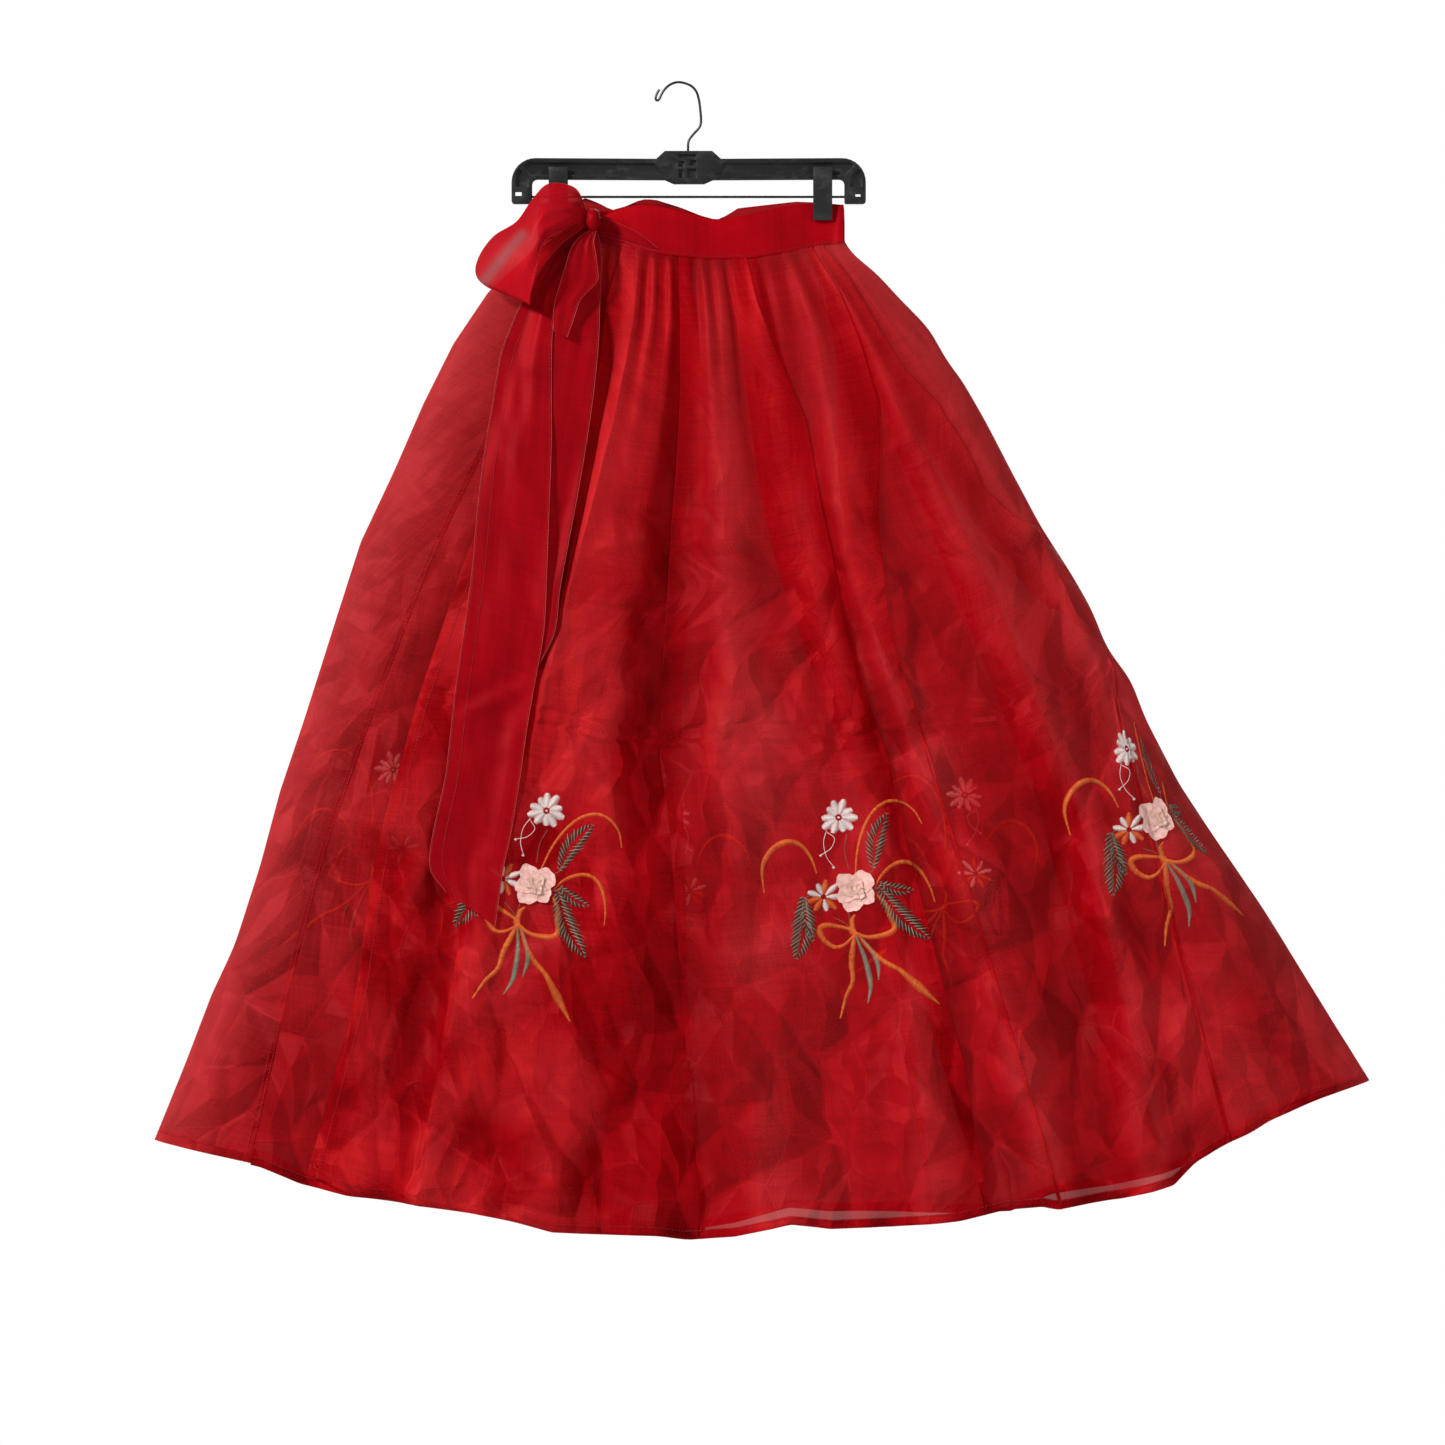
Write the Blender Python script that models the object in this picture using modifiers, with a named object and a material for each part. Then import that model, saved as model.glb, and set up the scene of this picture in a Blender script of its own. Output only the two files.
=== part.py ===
"""Long wrap skirt of sheer cloth, its sash tied in a bow, held by the waistband on a clip hanger.

The tables give millimetres across and down on the front drawing of the skirt. The row's origin is
the underside of the hook's top, where a peg or a rail holds it; +X is to the viewer's right, -Y
towards the viewer and +Z up.
"""

import math

import bmesh
import bpy
import numpy as np

# The drawing and the cloth
MM = 0.001
REST_ACROSS = 678.5
REST_DOWN = 80.2
CLOTH_WALL = 1.5
BAND_WALL = 1.5
SASH_WALL = 1.5
SEAM_GAP = 0.3
RIM_SLANT = 0.2

# The hanger
BAR_DEPTH = 11.0
BAR_RECESS = 3.2
WIRE_RADIUS = 1.25
WIRE_FIT = 0.35
ROD_DOWN = 194.3
ROD_ENDS = (524.0, 852.0)
FOOT_SPANS = ((510.6, 531.2), (845.0, 866.5))
CLIP_WIDTH = 19.0
CLIP_TIP_DOWN = 217.8

# How far the cloth stands out from the plane of the hanger, by share of the length
DEPTH_TABLE = {
    "share": (0.0, 0.04, 0.10, 0.20, 0.35, 0.60, 0.80, 1.0),
    "front": (10.0, 15.0, 26.0, 40.0, 54.0, 70.0, 80.0, 88.0),
    "back": (9.0, 11.0, 16.0, 24.0, 34.0, 44.0, 50.0, 56.0),
}
SECTION_POWER = 4.0

# Rows of the panels, as shares of the length from the waist seam to the hem
PANEL_ROWS = (0.0, 0.018, 0.045, 0.08, 0.125, 0.18, 0.25, 0.33, 0.43, 0.54, 0.65, 0.76, 0.87, 0.955, 1.0)

# Gathers at the waist seam: how deep they are down the panel
GATHER_SHARE = (0.0, 0.018, 0.045, 0.08, 0.125, 0.18, 0.25, 0.33, 0.43)
GATHER_DEPTH = (0.7, 2.6, 4.4, 4.6, 4.2, 3.4, 2.2, 1.0, 0.0)

# Side outlines of the skirt: across at each level down
OUTLINE_LEFT = {
    "down": (240, 290, 342, 402, 471, 541, 619, 720, 791, 866, 947, 996, 1067, 1141),
    "across": (540, 487, 452, 422, 392, 359, 334, 302, 278, 258, 232, 209, 182, 152),
}
OUTLINE_RIGHT = {
    "down": (240, 255, 266, 296, 326, 359, 378, 418, 474, 525, 573, 608, 648, 680, 720, 783, 841, 906, 1082),
    "across": (844.4, 855, 873, 900, 930, 948, 963, 986, 1015, 1042, 1073, 1093, 1109, 1133, 1148, 1181,
               1219, 1264, 1373),
}

# Waist seam and hems: down at each place across
SEAM_LINE = {
    "across": (538, 575, 609, 641, 668, 708, 748, 788, 823, 846),
    "down": (236, 237, 241, 249, 253, 257, 256, 250, 242, 240),
}
HEM_FRONT = {
    "across": (302, 350, 400, 442, 480, 519, 553, 616, 660, 688, 734, 790, 830, 892, 960, 1000, 1040, 1056,
               1119, 1174, 1200, 1240, 1264, 1330, 1373),
    "down": (1171, 1190, 1198, 1203, 1210, 1218, 1228, 1231, 1233, 1237, 1233, 1220, 1225, 1223, 1217, 1208,
             1203, 1206, 1196, 1182, 1160, 1140, 1131, 1099, 1082),
}
HEM_BACK = {
    "across": (152, 181, 231, 262, 294, 362, 442, 519, 553, 616, 688, 734, 790, 830, 892, 960, 1014, 1056,
               1119, 1174, 1213, 1264, 1330, 1373),
    "down": (1141, 1148, 1159, 1168, 1187, 1199, 1211, 1223, 1240, 1241, 1236, 1229, 1214, 1218, 1217, 1218,
             1217, 1200, 1190, 1178, 1165, 1139, 1105, 1082),
}
HEM_UNDER = {
    "across": (152, 231, 262, 302, 350, 442, 560, 640, 705),
    "down": (1141, 1159, 1166, 1182, 1193, 1205, 1222, 1226, 1228),
}

# Fold lines of the front panel, from its free edge to the right side seam. Each row gives the number of
# half gathers up to the next line, then across at the levels, then how far the line stands out (-) or in.
FOLD_LEVELS = (245, 320, 420, 560, 700, 850, 1000, 1200)
FRONT_FOLDS = (
    {"name": "free edge", "halves": 4, "across": (553, 545, 520, 466, 418, 378, 356, 302),
     "depth": (0, 0, 0, 0, 0, 0, 0, 0)},
    {"name": "ridge under the tails", "halves": 6, "across": (578, 566, 548, 504, 470, 432, 398, 345),
     "depth": (0, -3, -5, -6, -6, -6, -7, -9)},
    {"name": "shadow beside the tails", "halves": 3, "across": (618, 616, 604, 562, 525, 480, 435, 395),
     "depth": (0, 4, 9, 11, 9, 6, 4, 4)},
    {"name": "flute edge", "halves": 3, "across": (640, 634, 614, 578, 545, 505, 462, 425),
     "depth": (0, -4, -8, -10, -10, -8, -8, -10)},
    {"name": "flute middle", "halves": 3, "across": (662, 662, 650, 628, 608, 595, 580, 560),
     "depth": (0, -3, -7, -9, -9, -6, -6, -8)},
    {"name": "deep valley", "halves": 3, "across": (686, 690, 689, 677, 670, 674, 683, 705),
     "depth": (0, 4, 10, 13, 13, 10, 8, 10)},
    {"name": "centre ridge", "halves": 3, "across": (708, 716, 722, 728, 735, 745, 755, 775),
     "depth": (0, -3, -6, -9, -9, -8, -8, -10)},
    {"name": "short valley", "halves": 2, "across": (730, 745, 756, 787, 825, 850, 872, 890),
     "depth": (0, 2, 4, 6, 5, 3, 3, 6)},
    {"name": "short ridge", "halves": 2, "across": (748, 762, 778, 808, 848, 880, 912, 940),
     "depth": (0, -3, -5, -6, -6, -4, -4, -6)},
    {"name": "long valley", "halves": 2, "across": (766, 782, 797, 828, 874, 918, 960, 1003),
     "depth": (0, 2, 6, 8, 9, 10, 10, 12)},
    {"name": "long ridge", "halves": 2, "across": (786, 815, 833, 850, 900, 950, 1010, 1050),
     "depth": (0, -3, -6, -6, -8, -8, -8, -10)},
    {"name": "side valley", "halves": 2, "across": (802, 844, 880, 925, 985, 1062, 1085, 1106),
     "depth": (0, 3, 5, 6, 6, 8, 9, 12)},
    {"name": "side ridge", "halves": 2, "across": (814, 858, 905, 975, 1040, 1100, 1130, 1150),
     "depth": (0, -3, -5, -8, -8, -8, -6, -9)},
    {"name": "soft streak", "halves": 2, "across": (825, 872, 940, 1033, 1085, 1122, 1158, 1190),
     "depth": (0, 2, 4, 6, 6, 4, 4, 8)},
    {"name": "last ridge", "halves": 2, "across": (836, 890, 965, 1050, 1115, 1180, 1235, 1290),
     "depth": (0, -1, -2, -3, -3, -3, -3, -5)},
    {"name": "side seam", "halves": 0, "across": None, "depth": (0, 0, 0, 0, 0, 0, 0, 0)},
)

# Fold lines of the back panel, from the right side seam to the left outline
BACK_FOLDS = (
    {"name": "side seam", "halves": 2, "across": None, "depth": (0, 0, 0, 0, 0, 0, 0, 0)},
    {"name": "ridge 1", "halves": 3, "across": (834, 884, 955, 1040, 1108, 1178, 1236, 1292),
     "depth": (0, 1, 3, 4, 5, 6, 7, 8)},
    {"name": "valley 1", "halves": 3, "across": (812, 850, 904, 972, 1030, 1086, 1128, 1168),
     "depth": (0, -2, -4, -5, -6, -6, -7, -8)},
    {"name": "ridge 2", "halves": 2, "across": (776, 800, 836, 884, 930, 976, 1012, 1044),
     "depth": (0, 3, 5, 7, 8, 8, 9, 10)},
    {"name": "valley 2", "halves": 3, "across": (750, 764, 788, 822, 856, 888, 916, 940),
     "depth": (0, -3, -5, -7, -7, -8, -8, -9)},
    {"name": "ridge 3", "halves": 3, "across": (724, 728, 738, 756, 774, 794, 812, 828),
     "depth": (0, 3, 4, 5, 6, 8, 8, 9)},
    {"name": "valley 3", "halves": 2, "across": (690, 684, 678, 672, 668, 668, 668, 668),
     "depth": (0, -2, -4, -6, -8, -8, -8, -10)},
    {"name": "ridge 4", "halves": 3, "across": (660, 646, 630, 608, 590, 574, 560, 548),
     "depth": (0, 3, 6, 8, 8, 9, 9, 11)},
    {"name": "valley 4", "halves": 3, "across": (624, 598, 572, 532, 500, 466, 440, 420),
     "depth": (0, -2, -4, -6, -6, -6, -7, -8)},
    {"name": "ridge 5", "halves": 2, "across": (588, 554, 520, 466, 420, 376, 338, 306),
     "depth": (0, 2, 4, 5, 6, 6, 7, 8)},
    {"name": "valley 5", "halves": 2, "across": (556, 508, 466, 404, 352, 306, 262, 218),
     "depth": (0, -1, -1, -2, -2, -2, -3, -3)},
    {"name": "left outline", "halves": 0, "across": None, "depth": (0, 0, 0, 0, 0, 0, 0, 0)},
)

# The seam that joins the back panel, where it comes round to the front at the left, to the underlap
JOIN_LINE = (547, 530, 498, 432, 378, 326, 287, 243)
WRAP_COLUMNS = 7
WRAP_MIDDLE_COLUMNS = 3

# How the front panel, the underlap and the wrap lie to each other
BAND_BLEND = 0.06
OUTLINE_SPREAD = 2.2
UNDER_GAP = 8.0
LEAST_GAP = {"share": (0.0, 0.018, 0.045, 0.08, 0.125), "gap": (1.8, 2.2, 4.0, 6.4, 8.0)}
UNDER_LAST_FOLD = 5
LEFT_TURN_OUT = 2.4
GATHER_REACH = {"across": (545, 575, 620, 785, 812, 846), "reach": (0.0, 0.2, 1.0, 1.0, 0.2, 0.2)}
GATHER_FREE_SHARE = 0.1
BAND_ROWS = (0.0, 0.5, 1.0)
PANEL_CLOUD_STEPS = 4
TAIL_CLOUD_STEPS = 8

# Plan of the waistband, from its inner free end round the left end, the back and the right end to the
# outer end under the bow: across, out of the hanger's plane (- is towards the viewer), and its layer
BAND_PLAN = (
    (700, 2.6, "inner"), (676, 2.4, "inner"), (650, 1.8, "inner"), (625, 1.0, "inner"), (600, 0.4, "inner"),
    (580, 0.0, "inner"), (567, 0.0, "inner"), (548, 0.0, "inner"), (542, 0.2, "inner"), (539, 1.4, "inner"),
    (538, 3.0, "back"), (539.4, 4.5, "back"), (543, 4.4, "back"), (548, 1.8, "back"), (567, 1.8, "back"),
    (580, 3.6, "back"), (600, 6.4, "back"), (625, 8.6, "back"), (650, 10.0, "back"), (676, 10.6, "back"),
    (700, 10.2, "back"), (725, 9.4, "back"), (750, 8.4, "back"), (772, 6.8, "back"), (790, 4.6, "back"),
    (803, 2.2, "back"), (813, 0.95, "back"), (833, 0.95, "back"), (839, 2.6, "back"), (843, 2.4, "back"),
    (844.2, 0.0, "front"), (843, -2.4, "front"), (839, -2.6, "front"), (833, -0.95, "front"),
    (813, -0.95, "front"), (803, -2.4, "front"), (790, -5.2, "front"), (772, -7.8, "front"),
    (750, -9.4, "front"), (725, -10.4, "front"), (700, -11.0, "front"), (676, -11.2, "front"),
    (650, -10.4, "front"), (625, -8.6, "front"), (600, -6.0, "front"), (580, -3.2, "front"),
    (567, -1.8, "front"), (548, -1.8, "front"), (541, -2.6, "front"),
)
BAND_TOPS = {
    "front": {"across": (538, 570, 599, 625, 646, 667, 690, 716, 748, 801, 846),
              "down": (200, 205, 215, 206, 202, 205, 211, 218, 213, 202, 202.2)},
    "back": {"across": (538, 574, 585, 598, 611, 625, 641, 654, 680, 716, 727, 738, 765, 796, 812, 846),
             "down": (200, 199.6, 195, 200, 207, 203, 196, 196, 204, 217, 212, 205, 202, 198.8, 199.6, 202.2)},
    "inner": {"across": (538, 600, 650, 700), "down": (201, 209, 206, 214)},
}

# Tails of the sash: the slanting rows by which they leave the knot, then left and right edge at each level
FRONT_TAIL_TOP = (
    {"left": (583.2, 224.0), "right": (587.6, 229.0)}, {"left": (572, 228), "right": (580, 235)},
    {"left": (560, 238), "right": (571, 246)},
)
FRONT_TAIL = (
    {"down": 266, "left": 542, "right": 565},
    {"down": 300, "left": 522, "right": 556}, {"down": 330, "left": 509, "right": 553},
    {"down": 356, "left": 500, "right": 552}, {"down": 400, "left": 493, "right": 552},
    {"down": 450, "left": 485, "right": 552}, {"down": 510, "left": 478, "right": 550},
    {"down": 570, "left": 473, "right": 548}, {"down": 632, "left": 465, "right": 545},
    {"down": 694, "left": 456, "right": 534}, {"down": 730, "left": 452, "right": 528},
    {"down": 780, "left": 446, "right": 521}, {"down": 835, "left": 434, "right": 512},
    {"down": 868, "left": 432, "right": 505},
)
FRONT_TAIL_TIP = ({"left": (447, 890), "right": (497, 925)},)
BACK_TAIL_TOP = (
    {"left": (588.4, 231.3), "right": (597.0, 231.0)}, {"left": (580, 240), "right": (599.6, 240)},
)
BACK_TAIL = (
    {"down": 260, "left": 566, "right": 601},
    {"down": 300, "left": 556, "right": 600}, {"down": 340, "left": 548, "right": 599},
    {"down": 385, "left": 540, "right": 595}, {"down": 430, "left": 532, "right": 589},
    {"down": 480, "left": 524, "right": 581}, {"down": 540, "left": 515, "right": 570},
    {"down": 590, "left": 508, "right": 561}, {"down": 632, "left": 503, "right": 556},
    {"down": 664, "left": 500, "right": 541},
)
TAIL_COLUMNS = 6
LOOP_COLUMNS = 5
SHORT_END_COLUMNS = 4
TAIL_CLEARANCE = 2.2
LAY_REACH_ACROSS = 9.0
LAY_REACH_DOWN = {"down": (232, 262, 300, 340), "reach": (7.0, 11.0, 20.0, 30.0)}
TAIL_RIPPLE = 0.6
TAIL_RIPPLE_SHIFT = 0.35
BACK_TAIL_START = {"down": (226, 262, 300, 360), "out": (-14.5, -13.0, -12.0, 0.0)}
FRONT_TAIL_START = {"down": (226, 262, 300, 360), "out": (-18.5, -17.5, -16.0, 0.0)}

# Outlines of the hanger's plastic parts
BAR_MIDDLE = 688.5
BAR_TOP = 148.4
BAR_OUTLINE = (
    (510.6, 201.4, 3.0), (510.6, 155.5, 24.0), (656.0, 156.3, 0), (664.6, 148.4, 2.0), (712.2, 148.4, 2.0),
    (720.9, 156.3, 0), (866.5, 155.5, 24.0), (866.5, 201.4, 3.0), (845.0, 201.4, 2.0), (845.0, 176.8, 5.0),
    (712.9, 177.4, 0), (703.9, 181.4, 2.0), (673.6, 181.4, 2.0), (664.6, 177.4, 0), (531.2, 176.8, 5.0),
    (531.2, 201.4, 2.0),
)
ARM_RECESS = [(521.6, 163.0), (527.0, 160.0), (654.0, 160.6), (662.0, 172.4), (531.6, 172.4)]
FOOT_RECESS = [(514.6, 184.4), (514.6, 171.0), (518.2, 165.8), (527.2, 174.2), (527.2, 184.4)]
WINDOW_DEPTH = 3.0
WINDOW_CUTS = ((678.0, 151.6, 696.0, 155.6), (678.0, 158.4, 684.0, 164.4), (689.0, 157.4, 696.0, 163.0),
               (678.0, 167.0, 683.0, 175.4), (686.4, 166.0, 696.0, 175.4))
FOOT_SLOTS = ((514.2, 189.2, 520.8, 193.6), (856.0, 191.4, 861.2, 194.4))
HOOK_STEM = 687.9
HOOK_HOLE = 14.0
ROD_HOLE = 8.2

# The hook's wire: across and down along its middle, from the bar to the folded tip
HOOK_PATH = (
    (687.9, 161.6), (687.9, 146.0), (688.6, 138.0), (693.0, 131.6), (698.6, 125.4), (700.9, 119.0),
    (700.2, 107.0), (698.6, 95.7), (695.6, 87.4), (689.0, 81.6), (678.5, 78.95), (670.2, 81.3),
    (664.6, 86.0), (661.2, 91.2), (659.2, 95.6), (657.0, 97.4), (655.3, 95.4), (656.4, 91.0), (659.0, 86.4),
)

# The clips: out and down of a front jaw's outer side, then its inner side back to the top
LEFT_CLIP_ACROSS = 557.5
RIGHT_CLIP_ACROSS = 823.2
LEFT_HALF_GAP = 2.85
RIGHT_HALF_GAP = 2.0
JAW_PAD_DOWN = 206.0
JAW_OUTLINE = ((6.2, 164.8), (8.4, 164.8), (9.3, 170.0), (9.4, 182.0), (9.0, 196.0), (7.2, 210.0), (5.2, 217.8))
JAW_INNER = ((5.0, 202.6), (6.0, 196.0), (6.2, 182.0))
CHEEK_OUTLINE = ((7.4, 190.6), (7.4, 197.8), (-2.4, 197.8), (-3.2, 196.6), (-3.2, 192.0), (-2.0, 190.6))
CHEEK_PLACE = {"front": 8.4, "rear": 6.0}
CHEEK_WIDTH = 1.6
SPRING_PATH = ((-5.5, 182.0), (-4.6, 187.0), (-3.6, 191.4), (-2.8, 195.0), (-1.5, 197.0), (0.0, 197.6),
               (1.5, 197.0), (2.8, 195.0), (3.6, 191.4), (4.6, 187.0), (5.5, 182.0))
SPRING_WALL = 0.7
SPRING_WIDTH = 8.0

# Loop of the bow: each row gives the upper and the lower edge of the ribbon as across, down and out
BOW_LOOP = (
    {"upper": (585.8, 209, -22), "lower": (582.9, 219, -24), "puff": 1},
    {"upper": (578, 190, -24), "lower": (573, 225, -36), "puff": 6},
    {"upper": (564, 183, -25), "lower": (561, 233, -45), "puff": 9},
    {"upper": (546, 184, -26), "lower": (548, 241, -52), "puff": 11},
    {"upper": (531, 200, -26), "lower": (542, 251, -57), "puff": 12},
    {"upper": (516, 221, -26), "lower": (540, 262, -61), "puff": 12},
    {"upper": (494, 235, -26), "lower": (537, 274, -63), "puff": 11},
    {"upper": (480, 253, -26), "lower": (534, 286, -62), "puff": 8},
    {"upper": (475, 270, -25), "lower": (531, 297, -58), "puff": 4},
    {"upper": (481, 282, -27), "lower": (530, 305, -53), "puff": 1},
    {"upper": (497, 289, -27), "lower": (531, 303, -46), "puff": -2},
    {"upper": (516, 273, -27), "lower": (533, 288, -41), "puff": -2},
    {"upper": (536, 251, -26.5), "lower": (543, 267, -37), "puff": -2},
    {"upper": (560, 232, -25.5), "lower": (562, 243, -31), "puff": -1},
    {"upper": (583.2, 216, -20.5), "lower": (584.4, 226, -22), "puff": 0},
)
SHORT_END = (
    {"left": (588.4, 230.6, -25), "right": (596.2, 230.6, -24.5)},
    {"left": (577, 239, -30), "right": (594, 241, -28.5)},
    {"left": (570, 250, -33), "right": (596, 254, -31)},
    {"left": (565, 268, -36), "right": (598, 270, -33)},
    {"left": (560, 284, -38), "right": (597, 282, -34)},
    {"left": (555, 301, -38), "right": (581, 300, -36)},
    {"left": (553, 318, -37), "right": (574, 320, -35)},
    {"left": (554, 331, -35), "right": (568, 337, -33)},
)
KNOT_CENTRE = (592.6, 219.0, -19.3)
KNOT_HALVES = (8.6, 13.2, 12.2)
KNOT_SEGMENTS = (20, 12)
KNOT_PLEAT = 0.06
KNOT_PLEATS = 7
WRAP_STRIP = (
    {"across": 598.6, "upper": 215, "lower": 233}, {"across": 612, "upper": 219, "lower": 237},
    {"across": 624, "upper": 224, "lower": 240}, {"across": 636, "upper": 230, "lower": 244},
    {"across": 648, "upper": 238, "lower": 247.5}, {"across": 657, "upper": 246, "lower": 249.5},
)


def x_of(across):
    return np.asarray(across, float) - REST_ACROSS


def z_of(down):
    return REST_DOWN - np.asarray(down, float)


def from_table(table, key, value, given="across"):
    return np.interp(value, table[given], table[key])


# Materials
def material(name, colour, roughness, metallic=0.0):
    made = bpy.data.materials.new(name)
    made.use_nodes = True
    shader = made.node_tree.nodes["Principled BSDF"]
    shader.inputs["Base Color"].default_value = (*colour, 1.0)
    shader.inputs["Roughness"].default_value = roughness
    shader.inputs["Metallic"].default_value = metallic
    return made


def add_object(name, mesh, made_of):
    thing = bpy.data.objects.new(name, mesh)
    mesh.materials.append(made_of)
    PARTS.objects.link(thing)
    return thing


def shade_smooth(thing, angle=40.0):
    thing.data.shade_smooth()
    thing.data.set_sharp_from_angle(angle=math.radians(angle))


# Cloth: an open sheet of points, rows by columns, given a wall by Solidify
def cloth(name, points, wall, made_of):
    rows, columns = points.shape[:2]
    corners = [tuple(p) for p in (points.reshape(-1, 3) * MM)]
    faces = []
    for r in range(rows - 1):
        for c in range(columns - 1):
            a = r * columns + c
            faces.append((a, a + columns, a + columns + 1, a + 1))
    mesh = bpy.data.meshes.new(name)
    mesh.from_pydata(corners, [], faces)
    thing = add_object(name, mesh, made_of)
    thing.data.shade_smooth()
    shell = thing.modifiers.new("wall", "SOLIDIFY")
    shell.thickness = wall * MM
    shell.offset = 0.0
    return thing


# The base section of the skirt between its two outlines, and the layers of the waistband
def base_depth(across, down, share, side):
    left = from_table(OUTLINE_LEFT, "across", down, "down")
    right = from_table(OUTLINE_RIGHT, "across", down, "down")
    place = np.clip((2.0 * across - left - right) / (right - left), -1.0, 1.0)
    reach = np.interp(share, DEPTH_TABLE["share"], DEPTH_TABLE[side])
    round_section = reach * np.sqrt(1.0 - np.abs(place) ** SECTION_POWER)
    return -round_section if side == "front" else round_section


def band_depth(across, layer):
    plan = [(a, out) for a, out, where in BAND_PLAN if where == layer]
    plan.sort()
    return np.interp(across, [a for a, _ in plan], [out for _, out in plan])


def fold_columns(folds):
    """For every column: its place between two fold lines, and its count of half gathers."""
    columns = []
    halves = 0
    for index in range(len(folds) - 1):
        count = max(2 * folds[index]["halves"], 3)
        for step in range(count):
            part = step / count
            if folds[index + 1]["across"] is None:
                part = 1.0 - (1.0 - part) ** OUTLINE_SPREAD
            elif folds[index]["across"] is None:
                part = part ** OUTLINE_SPREAD
            columns.append((index, part, halves + folds[index]["halves"] * step / count))
        halves += folds[index]["halves"]
    columns.append((len(folds) - 1, 0.0, halves))
    return columns


def line_at(fold, outline, down):
    """Across of one fold line at a level; a line with no own levels is the outline."""
    if fold["across"] is None:
        return from_table(outline, "across", down, "down")
    return np.interp(down, FOLD_LEVELS, fold["across"])


def gather_reach(across, share):
    """How much of the full gather depth a place has: less just below where a clip pinches the band."""
    held = float(np.interp(across, GATHER_REACH["across"], GATHER_REACH["reach"]))
    return held + (1.0 - held) * min(share / GATHER_FREE_SHARE, 1.0)


def seam_down(across):
    """Down of the waistband's lower edge, which runs straight from column to column of the band."""
    places = sorted({a for a, _, layer in BAND_PLAN if layer == "front"})
    return float(np.interp(across, places, from_table(SEAM_LINE, "down", places)))


def panel_points(folds, columns, outlines, hem, side):
    """Points of a gathered panel: rows from the waist seam to the hem, columns along the fold lines."""
    points = np.zeros((len(PANEL_ROWS), len(columns), 3))
    for c, (index, part, halves) in enumerate(columns):
        after = min(index + 1, len(folds) - 1)
        first, last = folds[index], folds[after]
        sides = outlines[index], outlines[after]
        ends = []
        for level in (FOLD_LEVELS[0], FOLD_LEVELS[-1]):
            a, b = line_at(first, sides[0], level), line_at(last, sides[1], level)
            ends.append(a + (b - a) * part)
        top = seam_down(ends[0]) + SEAM_GAP + RIM_SLANT
        bottom = from_table(hem, "down", ends[1])
        blend = part * part * (3.0 - 2.0 * part)
        wave = math.cos(math.pi * halves)
        if first["across"] is None:
            wave *= part
        if last["across"] is None:
            wave *= 1.0 - part
        for r, share in enumerate(PANEL_ROWS):
            down = top + (bottom - top) * share
            a, b = line_at(first, sides[0], down), line_at(last, sides[1], down)
            across = a + (b - a) * part
            fold_a = np.interp(down, FOLD_LEVELS, first["depth"])
            fold_b = np.interp(down, FOLD_LEVELS, last["depth"])
            fold = fold_a + (fold_b - fold_a) * blend
            gather = np.interp(share, GATHER_SHARE, GATHER_DEPTH) * wave * gather_reach(ends[0], share)
            held = band_depth(across, side)
            out = held + (base_depth(across, down, share, side) - held) * band_mix(share)
            forward = gather if side == "front" else -gather
            points[r, c] = (x_of(across), out + fold + forward, z_of(down))
    return points


def band_mix(share):
    """0 at the waistband, 1 where the panel hangs free of it."""
    part = min(share / BAND_BLEND, 1.0)
    return part * part * (3.0 - 2.0 * part)


def under_gap(across, share):
    """How far the underlap lies behind the front panel."""
    held = band_depth(across, "inner") - band_depth(across, "front")
    gap = held + (UNDER_GAP - held) * band_mix(share)
    return max(gap, float(np.interp(share, LEAST_GAP["share"], LEAST_GAP["gap"])))


def wrap_points():
    """Left outline to the join: the last columns of the back panel, come round to the front."""
    points = np.zeros((len(PANEL_ROWS), WRAP_COLUMNS, 3))
    for c in range(WRAP_COLUMNS):
        part = (c + 1) / WRAP_COLUMNS
        place = part ** OUTLINE_SPREAD
        turn = part * part * (3.0 - 2.0 * part)
        for r, share in enumerate(PANEL_ROWS):
            a, b = left_outline_at(share), join_at(share)
            across = a[0] + (b[0] - a[0]) * place
            down = a[1] + (b[1] - a[1]) * place
            held = LEFT_TURN_OUT + (band_depth(across, "inner") - LEFT_TURN_OUT) * turn
            loose = base_depth(across, down, share, "front") + under_gap(across, share) * turn
            out = held + (loose - held) * band_mix(share)
            points[r, c] = (x_of(across), out, z_of(down))
    return points


def left_outline_at(share):
    """Across and down of the left outline at a share of the length."""
    top = seam_down(540.0) + SEAM_GAP + RIM_SLANT
    bottom = from_table(HEM_UNDER, "down", 152.0)
    down = top + (bottom - top) * share
    return from_table(OUTLINE_LEFT, "across", down, "down"), down


def join_at(share):
    top = seam_down(JOIN_LINE[0]) + SEAM_GAP + RIM_SLANT
    bottom = from_table(HEM_UNDER, "down", JOIN_LINE[-1])
    down = top + (bottom - top) * share
    return np.interp(down, FOLD_LEVELS, JOIN_LINE), down


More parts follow.
